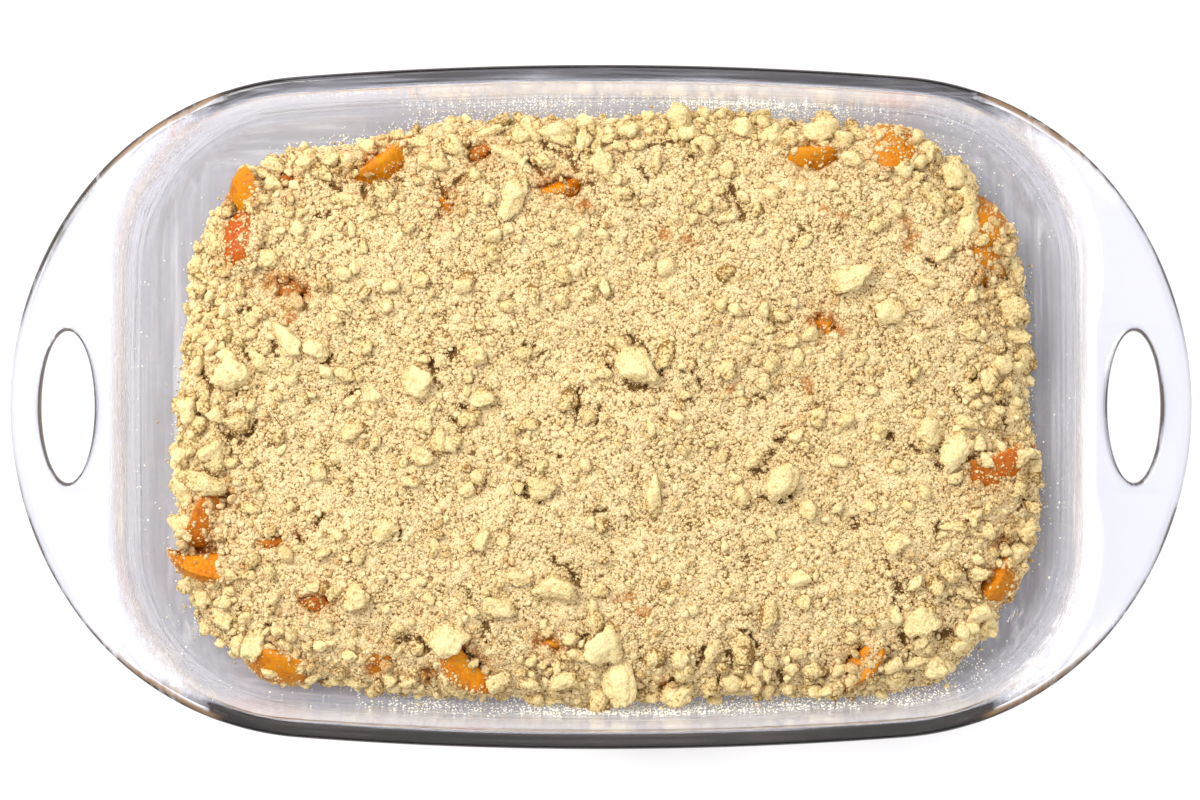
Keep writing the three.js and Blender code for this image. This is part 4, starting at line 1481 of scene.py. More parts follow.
@dataclass
class CrumbleBlanket:
    """The heaped blanket of rubbed-in crumble, as a closed shell with sandy relief on its open side.

    Attributes:
        heap: The heap that it follows.
        fruit: Points and faces of the quarters that show, which stand through it.
        finish: The crumb.
        columns: Grid steps along.
        rows: Grid steps across.
        crevice_depth: How deep a crevice is.
    """

    heap: HeapForm
    fruit: tuple[np.ndarray, Faces]
    finish: CrumbFinish
    columns: int = 374
    rows: int = 246
    crevice_depth: float = 2.0

    def profile(self, share: np.ndarray) -> tuple[np.ndarray, np.ndarray]:
        """Follows the heap's profile by length from the middle over the top and down the side.

        Args:
            share: From zero in the middle to one at the foot.

        Returns:
            The share of the way out, and the height.
        """
        rows = [(0.0, 27.9), *self.heap.profile[:0:-1], (0.97, HEAP_BASE + 0.1)]
        out = np.array([r[0] for r in rows])
        high = np.array([r[1] for r in rows])
        walked = np.append(0, np.cumsum(np.hypot(np.diff(out) * 123, np.diff(high))))
        fine = np.linspace(0, walked[-1], 600)
        out, high = np.interp(fine, walked, out), np.interp(fine, walked, high)
        window = np.hanning(33) / np.hanning(33).sum()
        soft = [np.convolve(np.pad(v, 16, "edge"), window, "valid") for v in (out, high)]
        return tuple(np.interp(share, np.linspace(0, 1, 600), v) for v in soft)

    def grid(self) -> tuple[np.ndarray, Faces, np.ndarray]:
        """Lays the grid over the heap.

        Returns:
            Points, faces, and each point's way along the profile.
        """
        u, v = np.meshgrid(np.linspace(-1, 1, self.columns), np.linspace(-1, 1, self.rows))
        along = np.maximum(np.abs(u), np.abs(v)).ravel()
        angle = np.arctan2(v * HEAP.width, u * HEAP.length).ravel()
        share, height = self.profile(along)
        plan = self.heap.place(angle, share)
        height = height + self.heap.relief(plan) * np.clip(1 - share**self.heap.fade, 0, 1)
        points = np.column_stack((plan, height))
        number = np.arange(self.columns * self.rows).reshape(self.rows, self.columns)
        low, high = number[:-1], number[1:]
        faces = np.stack((low[:, :-1], low[:, 1:], high[:, 1:], high[:, :-1]), -1).reshape(-1, 4)
        return points, faces.tolist(), along

    def underside(self, points: np.ndarray, faces: list) -> np.ndarray:
        """Closes the blanket below, over the fruit.

        Args:
            points: The grid's points.
            faces: The grid's faces, which the new ones are added to.

        Returns:
            All the points, the new ones last.
        """
        number = np.arange(self.columns * self.rows).reshape(self.rows, self.columns)
        ring = np.concatenate((number[0, :-1], number[:-1, -1], number[-1, :0:-1], number[:0:-1, 0]))
        angle = np.arctan2(points[ring, 1], points[ring, 0])
        rows = ((0.945, HEAP_BASE + 0.15), (0.93, 9.0), (0.9, 13.0), (0.7, 15.0), (0.35, 15.6))
        added, start, last = [points], len(points), ring
        for share, height in rows:
            plan = self.heap.place(angle, np.full(len(angle), share))
            added.append(np.column_stack((plan, np.full(len(plan), height))))
            new = np.arange(start, start + len(plan))
            faces.extend(zip(last, new, np.roll(new, -1), np.roll(last, -1)))
            start, last = start + len(plan), new
        added.append(np.array([(0.0, 0.0, 15.7)]))
        faces.extend((a, start, b) for a, b in zip(last, np.roll(last, -1)))
        return np.vstack(added)

    @staticmethod
    def stands_over(points: np.ndarray, shape: tuple[np.ndarray, list]) -> np.ndarray:
        """Measures how far a shape stands above points near the fruit that shows.

        Args:
            points: The points.
            shape: Points and faces of what may stand over them.

        Returns:
            How far the shape's top is above each point, and -50 where it isn't over it.
        """
        search = BVHTree.FromPolygons([Vector(p) for p in shape[0]], [tuple(f) for f in shape[1]])
        above = np.full(len(points), -50.0)
        near = np.zeros(len(points), bool)
        for fruits, reach in ((SHOWN_FRUIT, 28.0), (FRUIT_TIPS, 10.0)):
            for fruit in fruits:
                near |= np.hypot(points[:, 0] - fruit[0], points[:, 1] - fruit[1]) < reach
        for i in np.flatnonzero(near):
            hit = search.ray_cast(Vector((*points[i, :2], 80.0)), Vector((0, 0, -1)))[0]
            if hit is not None:
                above[i] = hit.z - points[i, 2]
        return above

    def relief_tree(self) -> bpy.types.NodeTree:
        """Builds the tree that raises the relief: soft clumps, clods and nubs with creases, and grains, with
        painted light and shade on its rises and dips.

        Returns:
            The tree.
        """
        kinds = ("Clump", "Clod", "Nub", "Grain")
        floats = [f"{kind} {size}" for kind in kinds for size in ("Width", "Height")]
        wanted = {**dict.fromkeys(floats, "Float"), "Seed": "Int", "Material": "Material"}
        tree, given = start_tree("crumble_relief", wanted)
        add = partial(add_node, tree)
        place, normal = add("GeometryNodeInputPosition"), add("GeometryNodeInputNormal")
        opened = add("GeometryNodeInputNamedAttribute", {"Name": "open"}, data_type="FLOAT")

        def pattern(kind: str) -> dict[str, Any]:
            """Gives the place and the scale of a pattern, from its width."""
            scale = add("ShaderNodeMath", {0: 1.0, 1: given[f"{kind} Width"]}, operation="DIVIDE")
            return {"Vector": place, "Scale": scale}

        lumpy = {}
        for kind, roughness in (("Clump", 0.5), ("Clod", 0.45), ("Nub", 0.5)):
            values = {**pattern(kind), "W": given["Seed"], "Detail": 1.5, "Roughness": roughness}
            lumpy[kind] = add("ShaderNodeTexNoise", values, noise_dimensions="4D") - 0.5
        clump = lumpy["Clump"] * 4.0 * given["Clump Height"]
        clod, nub = (
            (lumpy[kind].step("ABSOLUTE") * 7.0 - 0.7) * given[f"{kind} Height"] for kind in ("Clod", "Nub")
        )
        cells = add("ShaderNodeTexVoronoi", pattern("Grain"), feature="F1")
        grain = (0.45 - cells) * 2.0 * given["Grain Height"]
        fine = (clod + nub + grain) * opened
        way = {"Vector": normal, "Scale": clump * opened + fine}
        offset = add("ShaderNodeVectorMath", way, operation="SCALE")
        moved = add("GeometryNodeSetPosition", {"Geometry": given["Geometry"], "Offset": offset})
        # Painted light and shade: the crumb is paler where the fine relief rises and darker where it dips.
        kept = {"Geometry": moved, "Name": "hollow", "Value": fine * -170.0 - 0.02}
        stored = add("GeometryNodeStoreNamedAttribute", kept, data_type="FLOAT", domain="POINT")
        return finish_tree(tree, stored, given["Material"])

    def build(self) -> tuple[bpy.types.Object, Gathered]:
        """Builds the blanket, and starts the ground that the loose crumbs are strewn on.

        Returns:
            The finished piece, and the ground.
        """
        top, faces, along = self.grid()
        points = self.underside(top, faces)
        extra = len(points) - len(top)
        piece = mesh_piece("crumble_blanket", points, faces)
        face_outwards(piece.data)
        opened = np.append(1 - smooth_step(along, 0.965, 1.0), np.zeros(extra))
        write_values(piece.data, "open", opened)
        sizes = {
            "Clump Width": 19.0, "Clump Height": 0.8, "Clod Width": 7.5, "Clod Height": 0.75,
            "Nub Width": 3.2, "Nub Height": 0.35, "Grain Width": 1.9, "Grain Height": 0.42,
        }
        values: dict[str, Any] = {name: size * MM for name, size in sizes.items()}
        run_tree(piece, self.relief_tree(), {**values, "Seed": 3, "Material": self.finish.material()})
        move_vertices(piece.data, keep_in_dish(self.settle(vertices_of(piece.data), piece.data, opened)))
        ground = self.ground(piece, np.append(along, np.full(extra, 2.0)))
        return dress(piece, Slot.CRUMBLE, "crumble_topping"), ground

    def settle(self, points: np.ndarray, mesh: bpy.types.Mesh, opened: np.ndarray) -> np.ndarray:
        """Lays the crumble over the fruit except where it shows, and opens the crevices, with painted shade
        in them.

        Args:
            points: The blanket's points.
            mesh: Its mesh, whose values hollow and juice are written.
            opened: Where it may move, from zero to one.

        Returns:
            The points in their final places.
        """
        above = self.stands_over(points, self.fruit)
        shows = fruit_shows(points)
        over = np.clip(above + 0.8, 0, 3.6) * (1 - shows)
        under = np.clip(above - 1.3, np.where(above > -9, -5.5, -1.0), 0) * shows
        crack = crevices(points) * opened
        points[:, 2] += (over + under) * opened - self.crevice_depth * crack
        # The crevices are darkened with painted shade as well as sunk.
        write_values(mesh, "hollow", read_values(mesh, "hollow") + 0.62 * crack)
        stain, _ = ovals(points, [(x, y, a + 4, b + 4, turn, 9) for x, y, a, b, turn, _ in BARE_FRUIT], 1.4)
        wet, _ = ovals(points, JUICY, 0.9)
        write_values(mesh, "juice", np.clip(0.55 * shows + 0.3 * stain + 0.8 * wet, 0, 1))
        return points

    def floor_ring(self, steps: int = 720, rows: int = 18) -> tuple[np.ndarray, Faces, np.ndarray]:
        """Follows the glass round the heap's foot.

        Args:
            steps: Steps round it.
            rows: Steps outwards.

        Returns:
            Points and faces just above the glass, and how far out of the heap's edge each point is.
        """
        once_round = np.linspace(0, math.tau, steps, endpoint=False)
        turns, shares = np.meshgrid(once_round, np.linspace(0.98, 1.16, rows))
        plan = self.heap.place(turns.ravel(), shares.ravel())
        depth, inward = BASIN.depth(plan)
        depth = np.minimum(depth, RIM.depth(plan)[0] - 5.2)
        wall = (DISH_HEIGHT - HEAP_BASE - COVE_RADIUS) * math.tan(DRAFT) + GAP
        curve = np.clip(1 - (depth - wall) / COVE_RADIUS, 0, 0.97)
        up = 6.0 * np.clip(wall + 0.4 - depth, 0, 3)
        height = HEAP_BASE + 0.1 + COVE_RADIUS * (1 - np.sqrt(1 - curve**2)) + up
        plan = plan + inward * (np.maximum(depth, wall + 0.4) - up * math.tan(DRAFT) - depth)[:, None]
        number = np.arange(steps * rows).reshape(rows, steps)
        low, high = number[:-1], number[1:]
        faces = np.stack((low, high, np.roll(high, -1, 1), np.roll(low, -1, 1)), -1).reshape(-1, 4)
        keep = np.isfinite(depth) & (up < 18)
        faces = faces[keep[faces].all(1)]
        out = (shares.ravel() - 1) * self.heap.radius(turns.ravel())
        return np.column_stack((plan, height)), [tuple(f) for f in faces.tolist()], out

    def ground(self, blanket: bpy.types.Object, along: np.ndarray) -> Gathered:
        """Gathers the blanket's open side, the fruit's bare tops and the glass round them.

        Args:
            blanket: The blanket.
            along: Each point's way along the profile, over one on the underside.

        Returns:
            The ground, with values that say how thick each kind of crumb lies.
        """
        ground = Gathered("juice", "lumps", "nuggets", "grains", "sand", "dust")
        points = vertices_of(blanket.data)
        faces = [tuple(f.vertices) for f in blanket.data.polygons]
        share = self.heap.share(points[:, :2])
        free = (1 - 0.7 * fruit_shows(points)) * (along <= 1) * (1 - 0.7 * crevices(points))
        rim = smooth_step(share, 0.8, 0.95)
        left = smooth_step(-points[:, 0], 60, 125) * smooth_step(share, 0.3, 0.8)
        patch = smooth_step(waves(points, 34, 2.0), -0.15, 0.45)
        ground.add(
            points,
            faces,
            juice=0.8 * read_values(blanket.data, "juice"),
            lumps=np.clip(0.03 + 0.1 * patch + 1.0 * rim + 0.25 * left, 0, 1) * free,
            nuggets=np.clip(0.25 + 0.3 * patch + 0.6 * rim + 0.3 * left, 0, 1) * free,
            grains=0.3 * free,
            sand=0.33 * free,
        )
        fruit, fruit_faces = self.fruit
        over = -self.stands_over(fruit, (points, faces))
        over = np.where(over > 40, 6.0, over)
        _, bare = ovals(fruit, BARE_FRUIT)
        strewn = np.clip(1 - smooth_step(over, 0.0, 2.6) + 1.4 * (1 - bare) - 0.1, 0, 1)
        speck = 0.4 + 0.6 * smooth_step(np.array([noise.noise(Vector(p) / 5) for p in fruit]), -0.1, 0.5)
        kept = [f for f in fruit_faces if all(over[i] > -0.4 for i in f)]
        ground.add(
            fruit,
            kept,
            juice=0.25,
            nuggets=0.6 * strewn * (1 - 0.7 * bare),
            grains=strewn * (0.35 + 0.65 * speck),
            sand=np.clip(1.1 * strewn * speck + 0.06 * speck, 0, 1),
        )
        glass, glass_faces, out = self.floor_ring()
        patches = np.zeros(len(glass))
        for x, y, long, wide in DUSTY:
            here = np.exp(-(((glass[:, 0] - x) / long) ** 2) - ((glass[:, 1] - y) / wide) ** 2)
            patches = np.maximum(patches, here)
        edge = np.exp(-np.maximum(out, 0) / 1.6)
        dust = np.clip(0.006 + 0.3 * edge + patches * np.exp(-np.maximum(out - 2, 0) / 4), 0, 1)
        fine = 0.5 * edge * (glass[:, 2] < 12)
        ground.add(glass, glass_faces, nuggets=0.3 * fine, grains=0.2 * fine, sand=0.33 * fine, dust=dust)
        return ground


@dataclass(frozen=True)
class CrumbKind:
    """One size of loose crumb.

    Attributes:
        name: The piece's name.
        where: The blanket's attribute that says where it lies.
        sizes: Smallest and largest width.
        power: How rare the large ones are.
        density: How many on a square centimetre where they are thickest.
        spacing: The least distance between two.
        lift: How far its middle stands out of the surface, as a share of its width.
        shapes: How many different shapes there are.
        faces: Subdivisions of each shape.
        flatness: Height as a share of width.
        rough: How uneven the shape is.
        seed: Seed of its places.
    """

    name: str
    where: str
    sizes: tuple[float, float]
    power: float
    density: float
    spacing: float
    lift: float
    shapes: int
    faces: int
    flatness: float
    rough: float
    seed: int


# A chunk breaks along this many flat sides, the sharper the higher the second number.
CHUNK_SIDES = 12
CHUNK_SHARPNESS = 9


def crumb_shape(level: int, size: Sequence[float], rough: float, seed: float) -> tuple[np.ndarray, Faces]:
    """Makes an irregular crumb around the origin.

    Args:
        level: Subdivisions of the ball that it starts from, or none for a grain of eight faces.
        size: Length, width and height.
        rough: How uneven it is.
        seed: Moves the noise, so that no two are alike.

    Returns:
        Its points and faces.
    """
    work = bmesh.new()
    if level:
        bmesh.ops.create_icosphere(work, subdivisions=level, radius=0.5)
    else:
        ends = [(side * row).tolist() for row in np.eye(3) for side in (0.5, -0.5)]
        corners = [work.verts.new(end) for end in ends]
        bmesh.ops.convex_hull(work, input=corners)
        work.verts.index_update()
    work.verts.ensure_lookup_table()
    points = np.array([v.co for v in work.verts], float)
    faces = [tuple(v.index for v in f.verts) for f in work.faces]
    work.free()
    shift = Vector((seed * 1.31, seed * 0.77, seed * 2.09))
    pulls = []
    for p in points:
        at = Vector(p)
        pull = 1 + rough * (1.1 * noise.noise(at * 2.1 + shift) + 0.6 * noise.noise(at * 4.6 + shift))
        if level > 2:
            pull += rough * (0.42 * noise.noise(at * 9 + shift) + 0.28 * noise.noise(at * 21 + shift))
        pulls.append(pull)
    draws = Draws(int(seed * 1000) + 17)
    sides = np.array([[draws.between(-1, 1) for _ in range(3)] for _ in range(CHUNK_SIDES)])
    sides /= np.linalg.norm(sides, axis=1)[:, None]
    cut = np.array([draws.between(0.6, 0.95) for _ in range(CHUNK_SIDES)])
    facing = np.maximum(points / 0.5 @ sides.T, 0.02) / cut
    flat = (facing**CHUNK_SHARPNESS).sum(1) ** (-1 / CHUNK_SHARPNESS)
    shape = points * np.minimum(flat, 1.12)[:, None] * np.array(pulls)[:, None]
    shape *= 0.5 / np.abs(shape).max(0)
    return shape * np.array(size), faces


@dataclass
class LooseCrumbs:
    """The crumbs that lie loose, strewn by a node tree, one piece for each size.

    Attributes:
        ground: The surface that they lie on.
        finish: The crumb.
        kind: Their size and where they lie.
    """

    ground: bpy.types.Object
    finish: CrumbFinish
    kind: CrumbKind

    def shapes(self) -> bpy.types.Collection:
        """Makes the shapes that the tree picks from."""
        kept = bpy.data.collections.new(f"{self.kind.name}_shapes")
        for i in range(self.kind.shapes):
            seed = self.kind.seed * 10 + i
            draws = Draws(seed)
            length, width = 1.0, draws.between(0.62, 0.95)
            size = (length, width, self.kind.flatness * draws.between(0.85, 1.15))
            points, faces = crumb_shape(self.kind.faces, size, self.kind.rough, seed)
            mesh = bpy.data.meshes.new(f"{self.kind.name}_shape_{i}")
            mesh.from_pydata(points.tolist(), [], faces)
            mesh.shade_smooth()
            kept.objects.link(bpy.data.objects.new(mesh.name, mesh))
        return kept

    def tree(self) -> bpy.types.NodeTree:
        """Builds the tree that strews the crumbs.

        Returns:
            The tree.
        """
        floats = ("Smallest", "Largest", "Rarity", "Density", "Spacing", "Lift", "Tilt")
        others = {"Where": "String", "Seed": "Int", "Shapes": "Collection", "Material": "Material"}
        wanted = {**dict.fromkeys(floats, "Float"), **others}
        tree, given = start_tree("strewn_crumbs", wanted)
        add = partial(add_node, tree)
        crowd = add("GeometryNodeInputNamedAttribute", {"Name": given["Where"]}, data_type="FLOAT")
        where = {
            "Mesh": given["Geometry"],
            "Distance Min": given["Spacing"],
            "Density Max": given["Density"],
            "Density Factor": crowd,
            "Seed": given["Seed"],
        }
        spread = add("GeometryNodeDistributePointsOnFaces", where, distribute_method="POISSON")
        tint, chance = (
            add("FunctionNodeRandomValue", {"Seed": given["Seed"] + step}, data_type="FLOAT")
            for step in (11.0, 12.0)
        )
        span = given["Largest"] - given["Smallest"]
        size = chance.step("POWER", given["Rarity"]) * span + given["Smallest"]
        marked = spread
        for key, value in (("tint", tint), ("width", size)):
            kept = {"Geometry": marked, "Name": key, "Value": value}
            marked = add("GeometryNodeStoreNamedAttribute", kept, data_type="FLOAT", domain="POINT")
        width = add("GeometryNodeInputNamedAttribute", {"Name": "width"}, data_type="FLOAT")
        most = add("ShaderNodeCombineXYZ", {"X": given["Tilt"], "Y": given["Tilt"], "Z": math.tau})
        least = add("ShaderNodeVectorMath", {"Vector": most, "Scale": -1.0}, operation="SCALE")
        turns = {"Min": least, "Max": most, "Seed": given["Seed"] + 13.0}
        spin = add("FunctionNodeRandomValue", turns, data_type="FLOAT_VECTOR")
        turn = add("FunctionNodeEulerToRotation", {"Euler": spin})
        turns = {"Rotation": spread.other("Rotation"), "Rotate By": turn}
        rotation = add("FunctionNodeRotateRotation", turns, rotation_space="LOCAL")
        way = {"Vector": spread.other("Normal"), "Scale": width * given["Lift"]}
        offset = add("ShaderNodeVectorMath", way, operation="SCALE")
        raised = add("GeometryNodeSetPosition", {"Geometry": marked, "Offset": offset})
        apart = {"Collection": given["Shapes"], "Separate Children": True, "Reset Children": True}
        shape = add("GeometryNodeCollectionInfo", apart)
        scale = add("ShaderNodeCombineXYZ", dict.fromkeys("XYZ", width))
        each = {"Instance": shape, "Pick Instance": True, "Rotation": rotation, "Scale": scale}
        placed = add("GeometryNodeInstanceOnPoints", {"Points": raised, **each})
        return finish_tree(tree, placed, given["Material"])

    def build(self) -> bpy.types.Object:
        """Strews the crumbs and keeps them out of the glass.

        Returns:
            The finished piece.
        """
        kind = self.kind
        piece = bpy.data.objects.new(kind.name, self.ground.data.copy())
        bpy.context.scene.collection.objects.link(piece)
        shapes = self.shapes()
        run_tree(
            piece,
            self.tree(),
            {
                "Smallest": kind.sizes[0] * MM,
                "Largest": kind.sizes[1] * MM,
                "Rarity": kind.power,
                "Density": kind.density * 1e4,
                "Spacing": kind.spacing * MM,
                "Lift": kind.lift,
                "Tilt": 0.5,
                "Where": kind.where,
                "Seed": kind.seed,
                "Shapes": shapes,
                "Material": self.finish.material(),
            },
        )
        for shape in list(shapes.objects):
            bpy.data.objects.remove(shape)
        bpy.data.collections.remove(shapes)
        move_vertices(piece.data, keep_in_dish(vertices_of(piece.data)))
        return dress(piece, Slot.CRUMBLE)


@dataclass
class ButterLumps:
    """The lumps that the part's own solids have: the marked ones, those at the foot, and some on the field.

    Attributes:
        heap: The heap that they lie on.
        finish: The crumb.
        border: How many lie round the foot, with their sizes, shares of the way out and heights.
        field: How many lie on the field, with their sizes and how they crowd to the edge.
    """

    heap: HeapForm
    finish: CrumbFinish
    border: tuple[int, Pair, Pair, Pair] = (54, (8, 12.5), (0.93, 0.985), (0.5, 10))
    field: tuple[int, Pair, float, float, float] = (28, (4.2, 8.2), 0.96, 0.42, 4)

    def lumps(self) -> list[tuple[Place, Place, float]]:
        """Finds every lump of the part's source, by the same stream of numbers.

        Returns:
            Place, size and turn in degrees of each.
        """
        draws = Draws(SEED)
        outline = HEAP.points(0.0, (3, 5, 4))
        found = []
        for x, y, length, width, turn in MARKED_LUMPS:
            height = LUMP_FLATNESS * width
            place = (x, y, self.heap.height(x, y) + 0.12 * height)
            found.append((place, (length, width, height), turn))
            draws.skip(42 if length > 16.5 else 12)
        count, size, share, rise = self.border
        for i in range(count):
            x, y = outline[int((i + draws.between(0, 0.6)) / count * len(outline))]
            uneven = float(self.heap.uneven(np.array(math.atan2(y, x))))
            out = draws.between(*share) + uneven / math.hypot(x, y)
            across = draws.between(*size)
            height = HEAP_BASE + 0.4 * across + draws.between(*rise)
            turn = draws.between(0, 180)
            found.append(((x * out, y * out, height), (across, 0.85 * across, LUMP_FLATNESS * across), turn))
            draws.skip(12)
        count, size, reach, crowding, stray = self.field
        for _ in range(count):
            x, y = outline[int(draws.next() * len(outline))]
            out = reach * draws.next() ** crowding
            across = size[0] + (size[1] - size[0]) * draws.next() ** 2
            x, y = x * out + draws.between(-stray, stray), y * out + draws.between(-stray, stray)
            width = across * draws.between(0.7, 1)
            turn = draws.between(0, 180)
            place = (x, y, self.heap.height(x, y) + 0.1 * across)
            found.append((place, (across, width, LUMP_FLATNESS * across), turn))
            draws.skip(12)
        return found

    def small_lumps(self) -> list[tuple[Place, Place, float, float]]:
        """Places the lumps that the part's solids don't have.

        Returns:
            Place, size, turn in degrees and butteriness of each.
        """
        found = []
        for x, y, length, width, turn, butter in SMALL_LUMPS:
            outer = float(smooth_step(self.heap.share(np.array((x, y), float)), 0.84, 0.92))
            height = (0.55 + 0.03 * butter) * width
            rise = 0.02 + 0.01 * butter + 0.2 * outer
            place = (x, y, self.heap.height(x, y) + rise * height)
            found.append((place, (length, width, height), turn, butter / 10))
        return found

    def build(self, ground: Gathered) -> tuple[bpy.types.Object, bpy.types.Object]:
        """Builds every lump, each with its own shape.

        Args:
            ground: Where crumbs are strewn, which the lumps are added to.

        Returns:
            The lumps of the part's source, and the small ones.
        """
        large = []
        for i, (place, size, turn) in enumerate(self.lumps()):
            butter = (0.78 if i < len(MARKED_LUMPS) else 0.6) + 0.2 * math.sin(12.9 * i)
            large.append((np.array(place) + LUMP_NUDGE.get(i, (0, 0, 0)), size, turn, butter))
        rows = (("butter_lumps", large, 2.0), ("small_lumps", self.small_lumps(), 900.0))
        return tuple(self.piece(name, lumps, seed, ground) for name, lumps, seed in rows)

    def piece(self, name: str, lumps: Sequence[tuple], seed: float, ground: Gathered) -> bpy.types.Object:
        """Builds one piece of lumps, with painted shade and strewn crumbs towards their feet.

        Args:
            name: The piece's name.
            lumps: Place, size, turn in degrees and butteriness of each.
            seed: Moves the noise, so that no two are alike.
            ground: Where crumbs are strewn, which the lumps are added to.

        Returns:
            The finished piece.
        """
        joined = Gathered("hollow", "tint")
        for i, (place, size, turn, butter) in enumerate(lumps):
            level = 4 if size[0] > 8 else 3
            shape, faces = crumb_shape(level, [1.08 * s for s in size], 0.3, 7.3 * i + seed)
            shape = shape @ turn_matrix(0.25 * math.sin(5 * i), 0.25 * math.cos(3 * i), math.radians(turn))
            foot = (1 - np.clip(shape[:, 2] / shape[:, 2].max(), 0, 1)) ** 2
            points = keep_in_dish(shape + place)
            # Painted shade towards each lump's foot, through the hollow value.
            joined.add(points, faces, hollow=0.26 * foot, tint=butter)
            ground.add(points, faces, grains=0.1 * foot, sand=0.01 + 0.25 * foot)
        piece = joined.piece(name)
        piece.data.materials.append(self.finish.material())
        return dress(piece, Slot.CRUMBLE)


@dataclass
class Studio:
    """A pale table in soft daylight, seen from straight above.

    Attributes:
        camera_height: Height of the camera above the dish's rim, in metres.
        view_width: Width of the view at the rim, in metres.
        centre: What the camera looks down at, in metres.
        table: Length and width of the table top, in metres.
        table_drop: Height of the table top against the dish's foot, in millimetres.
        lamp_place: Where the lamp stands, in metres.
    """

    camera_height: float = 1.05
    view_width: float = 0.3953
    centre: Pair = (-0.0003, 0.0023)
    table: Pair = (1.5, 1.0)
    table_drop: float = -0.3
    lamp_place: Place = (-0.8, 0.75, 1.15)

    def camera(self) -> None:
        """Makes the camera at the photograph's angle and framing."""
        data = bpy.data.cameras.new("camera")
        data.sensor_width = 36.0
        data.lens = data.sensor_width * self.camera_height / self.view_width
        data.clip_start, data.clip_end = 0.05, 20.0
        camera = bpy.data.objects.new("camera", data)
        camera.location = (*self.centre, DISH_HEIGHT * MM + self.camera_height)
        bpy.context.scene.collection.objects.link(camera)
        bpy.context.scene.camera = camera

    def floor(self) -> None:
        """Makes the pale floor."""
        half_length, half_width = (s / 2 / MM for s in self.table)
        ends = ((-1, -1), (1, -1), (1, 1), (-1, 1))
        corners = [(x * half_length, y * half_width, self.table_drop) for x, y in ends]
        floor = mesh_piece("table_top", np.array(corners), [(0, 1, 2, 3)])
        # White laminate: a flat pale grey, so even that only the dish's own shadow shows on it.
        material, add, shader = new_material("white_laminate")
        place = add("ShaderNodeTexCoord", output="Object")
        soft = add("ShaderNodeTexNoise", {"Vector": place, "Scale": 8.0, "Detail": 2.0})
        colour = add("ShaderNodeValToRGB", {"Fac": soft}, stops=((0.3, "#d7d7da"), (0.7, "#dbdbdd")))
        plug(shader, {"Base Color": colour, "Roughness": 0.6, "Specular IOR Level": 0.2})
        floor.data.materials.append(material)

    def light(self) -> None:
        """Makes the soft light: a sky that is dark at the long sides only, and a large lamp."""
        world = bpy.data.worlds.new("studio")
        bpy.context.scene.world = world
        world.use_nodes = True
        add = partial(add_node, world.node_tree)
        along = add("ShaderNodeSeparateXYZ", {"Vector": add("ShaderNodeTexCoord", output="Generated")}, "X")
        parts = []
        for way, low, high in ((along.other("Z"), 0.1, 0.55), (along.step("ABSOLUTE"), 0.5, 0.95)):
            span = {"Value": way, "From Min": low, "From Max": high}
            parts.append(add("ShaderNodeMapRange", span, interpolation_type="SMOOTHSTEP"))
        bright = parts[0].step("MAXIMUM", parts[1])
        level = bright * 0.9 + (along.other("Y") * 0.1 + 0.22)
        path = add("ShaderNodeLightPath", output="Is Camera Ray")
        lit = path.other("Diffuse Depth").step("MINIMUM", 1.0) * (1.0 - bright)
        strength = add("ShaderNodeMix", {"Factor": path, "A": lit * 0.5 + level, "B": 1.0}, data_type="FLOAT")
        back = next(n for n in world.node_tree.nodes if n.type == "BACKGROUND")
        plug(back, {"Color": srgb("#fbfcff"), "Strength": strength})
        data = bpy.data.lights.new("window", "AREA")
        data.shape, data.size, data.energy = "SQUARE", 1.0, 26.0
        data.color = srgb("#fffaf2")[:3]
        lamp = bpy.data.objects.new("window", data)
        lamp.location = self.lamp_place
        lamp.rotation_euler = Vector(lamp.location).to_track_quat("Z", "Y").to_euler()
        bpy.context.scene.collection.objects.link(lamp)

    def build(self) -> None:
        """Makes the camera, floor and light, with colours shown as they are."""
        self.camera()
        self.floor()
        self.light()
        bpy.context.scene.view_settings.view_transform = "Standard"
        log.info("studio: camera, table top, sky and lamp")


# The sandy crumble itself: pale grains with painted shade in the gaps between them, so that it looks dry and
# loose.
SANDY = CrumbFinish(
    "rubbed_in_crumble", gap_shade="#70502a", body="#d3b682", crest="#e9d5a6", grain=0.9, grain_share=0.62
)
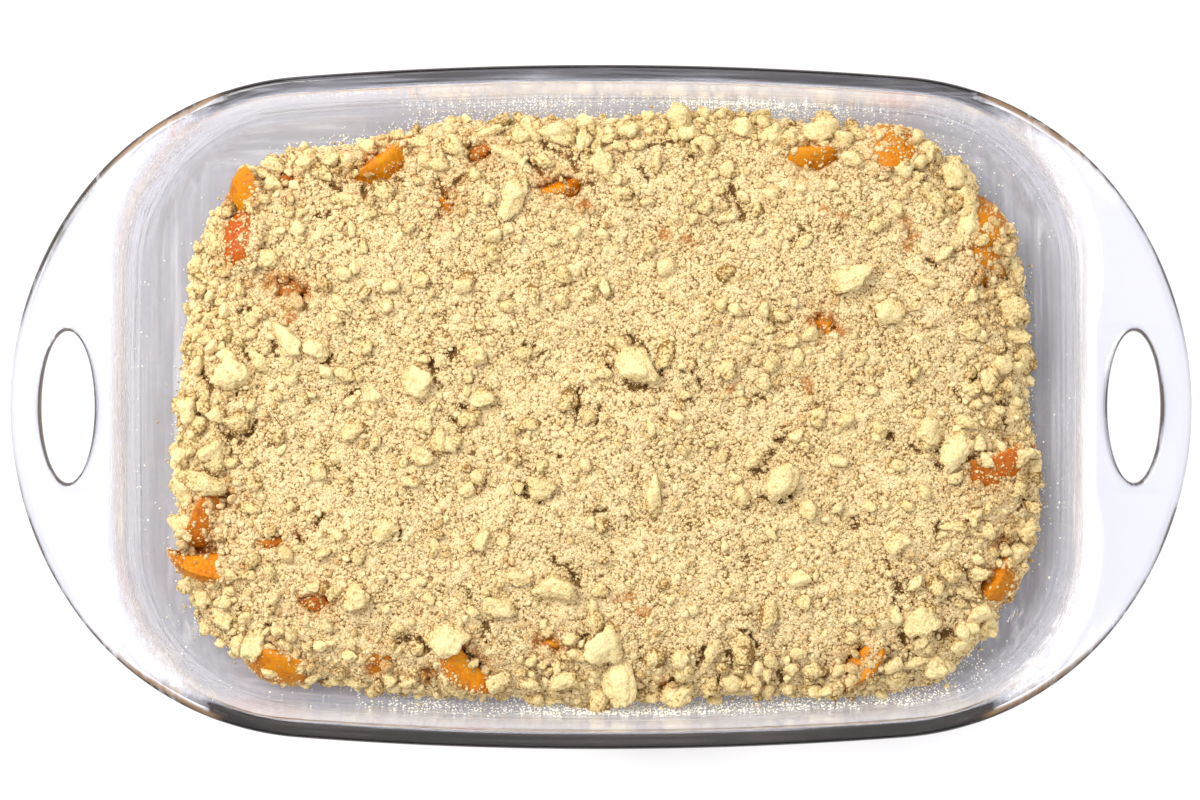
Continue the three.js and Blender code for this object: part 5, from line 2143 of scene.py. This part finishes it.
# Lumps held together by butter: yellower and smoother, with fewer gaps.
BUTTERY = CrumbFinish(
    "butter_crumb_lumps", gap_shade="#86622f", body="#d3b880", crest="#ecd8a2", grain=0.9, grain_share=0.5,
    tint_share=0.4, bump=0.34, own_share=0.3, pit_shade=0.8,
)
# Loose crumbs: each has a tone of its own, and its shape gives the shade, so its gaps are light.
LOOSE = CrumbFinish(
    "loose_crumble", gap_shade="#a5824c", body="#d2b580", crest="#ead6a6", grain=0.8, grain_share=0.45,
    tint_share=0.45, bump=0.18, pit_shade=0.3,
)
# Specks of flour on the glass: nearly white and quite even.
FLOUR = CrumbFinish(
    "flour_specks", gap_shade="#cdbd98", body="#f6efdc", crest="#fffdf6", grain=0.5, grain_share=0.3,
    tint_share=0.3, bump=0.05, pit_shade=0.0,
)

# Each kind of loose crumb with its finish, the largest first.
CRUMB_KINDS = (
    (CrumbKind("crumb_nuggets", "lumps", (4.0, 8.0), 1.6, 3.1, 3.2, 0.16, 9, 3, 0.75, 0.33, 5), BUTTERY),
    (CrumbKind("crumb_bits", "nuggets", (1.9, 4.0), 1.5, 7.5, 1.7, 0.06, 12, 2, 0.72, 0.32, 6), LOOSE),
    (CrumbKind("crumb_grains", "grains", (1.2, 2.1), 1.6, 30.0, 0.9, 0.04, 12, 1, 0.8, 0.34, 7), LOOSE),
    (CrumbKind("crumb_sand", "sand", (0.7, 1.3), 1.2, 80.0, 0.5, 0.05, 12, 0, 0.85, 0.4, 8), LOOSE),
    (CrumbKind("crumb_dust", "dust", (0.4, 0.95), 1.6, 120.0, 0.35, 0.2, 8, 1, 0.7, 0.35, 9), FLOUR),
)


def main() -> None:
    """Builds the studio, the dish, the fruit, the crumble and its crumbs, in that order."""
    logging.basicConfig(level=logging.INFO, format="%(message)s")
    Studio().build()
    GlassDish().build()
    heap = HeapForm()
    _, shown = ApricotBed(heap).build()
    _, surfaces = CrumbleBlanket(heap, shown, SANDY).build()
    ButterLumps(heap, BUTTERY).build(surfaces)
    ground = surfaces.piece("strewing_ground")
    bpy.context.scene.collection.objects.unlink(ground)
    for kind, finish in CRUMB_KINDS:
        LooseCrumbs(ground, finish, kind).build()
    bpy.data.objects.remove(ground)


if __name__ == "__main__":
    main()
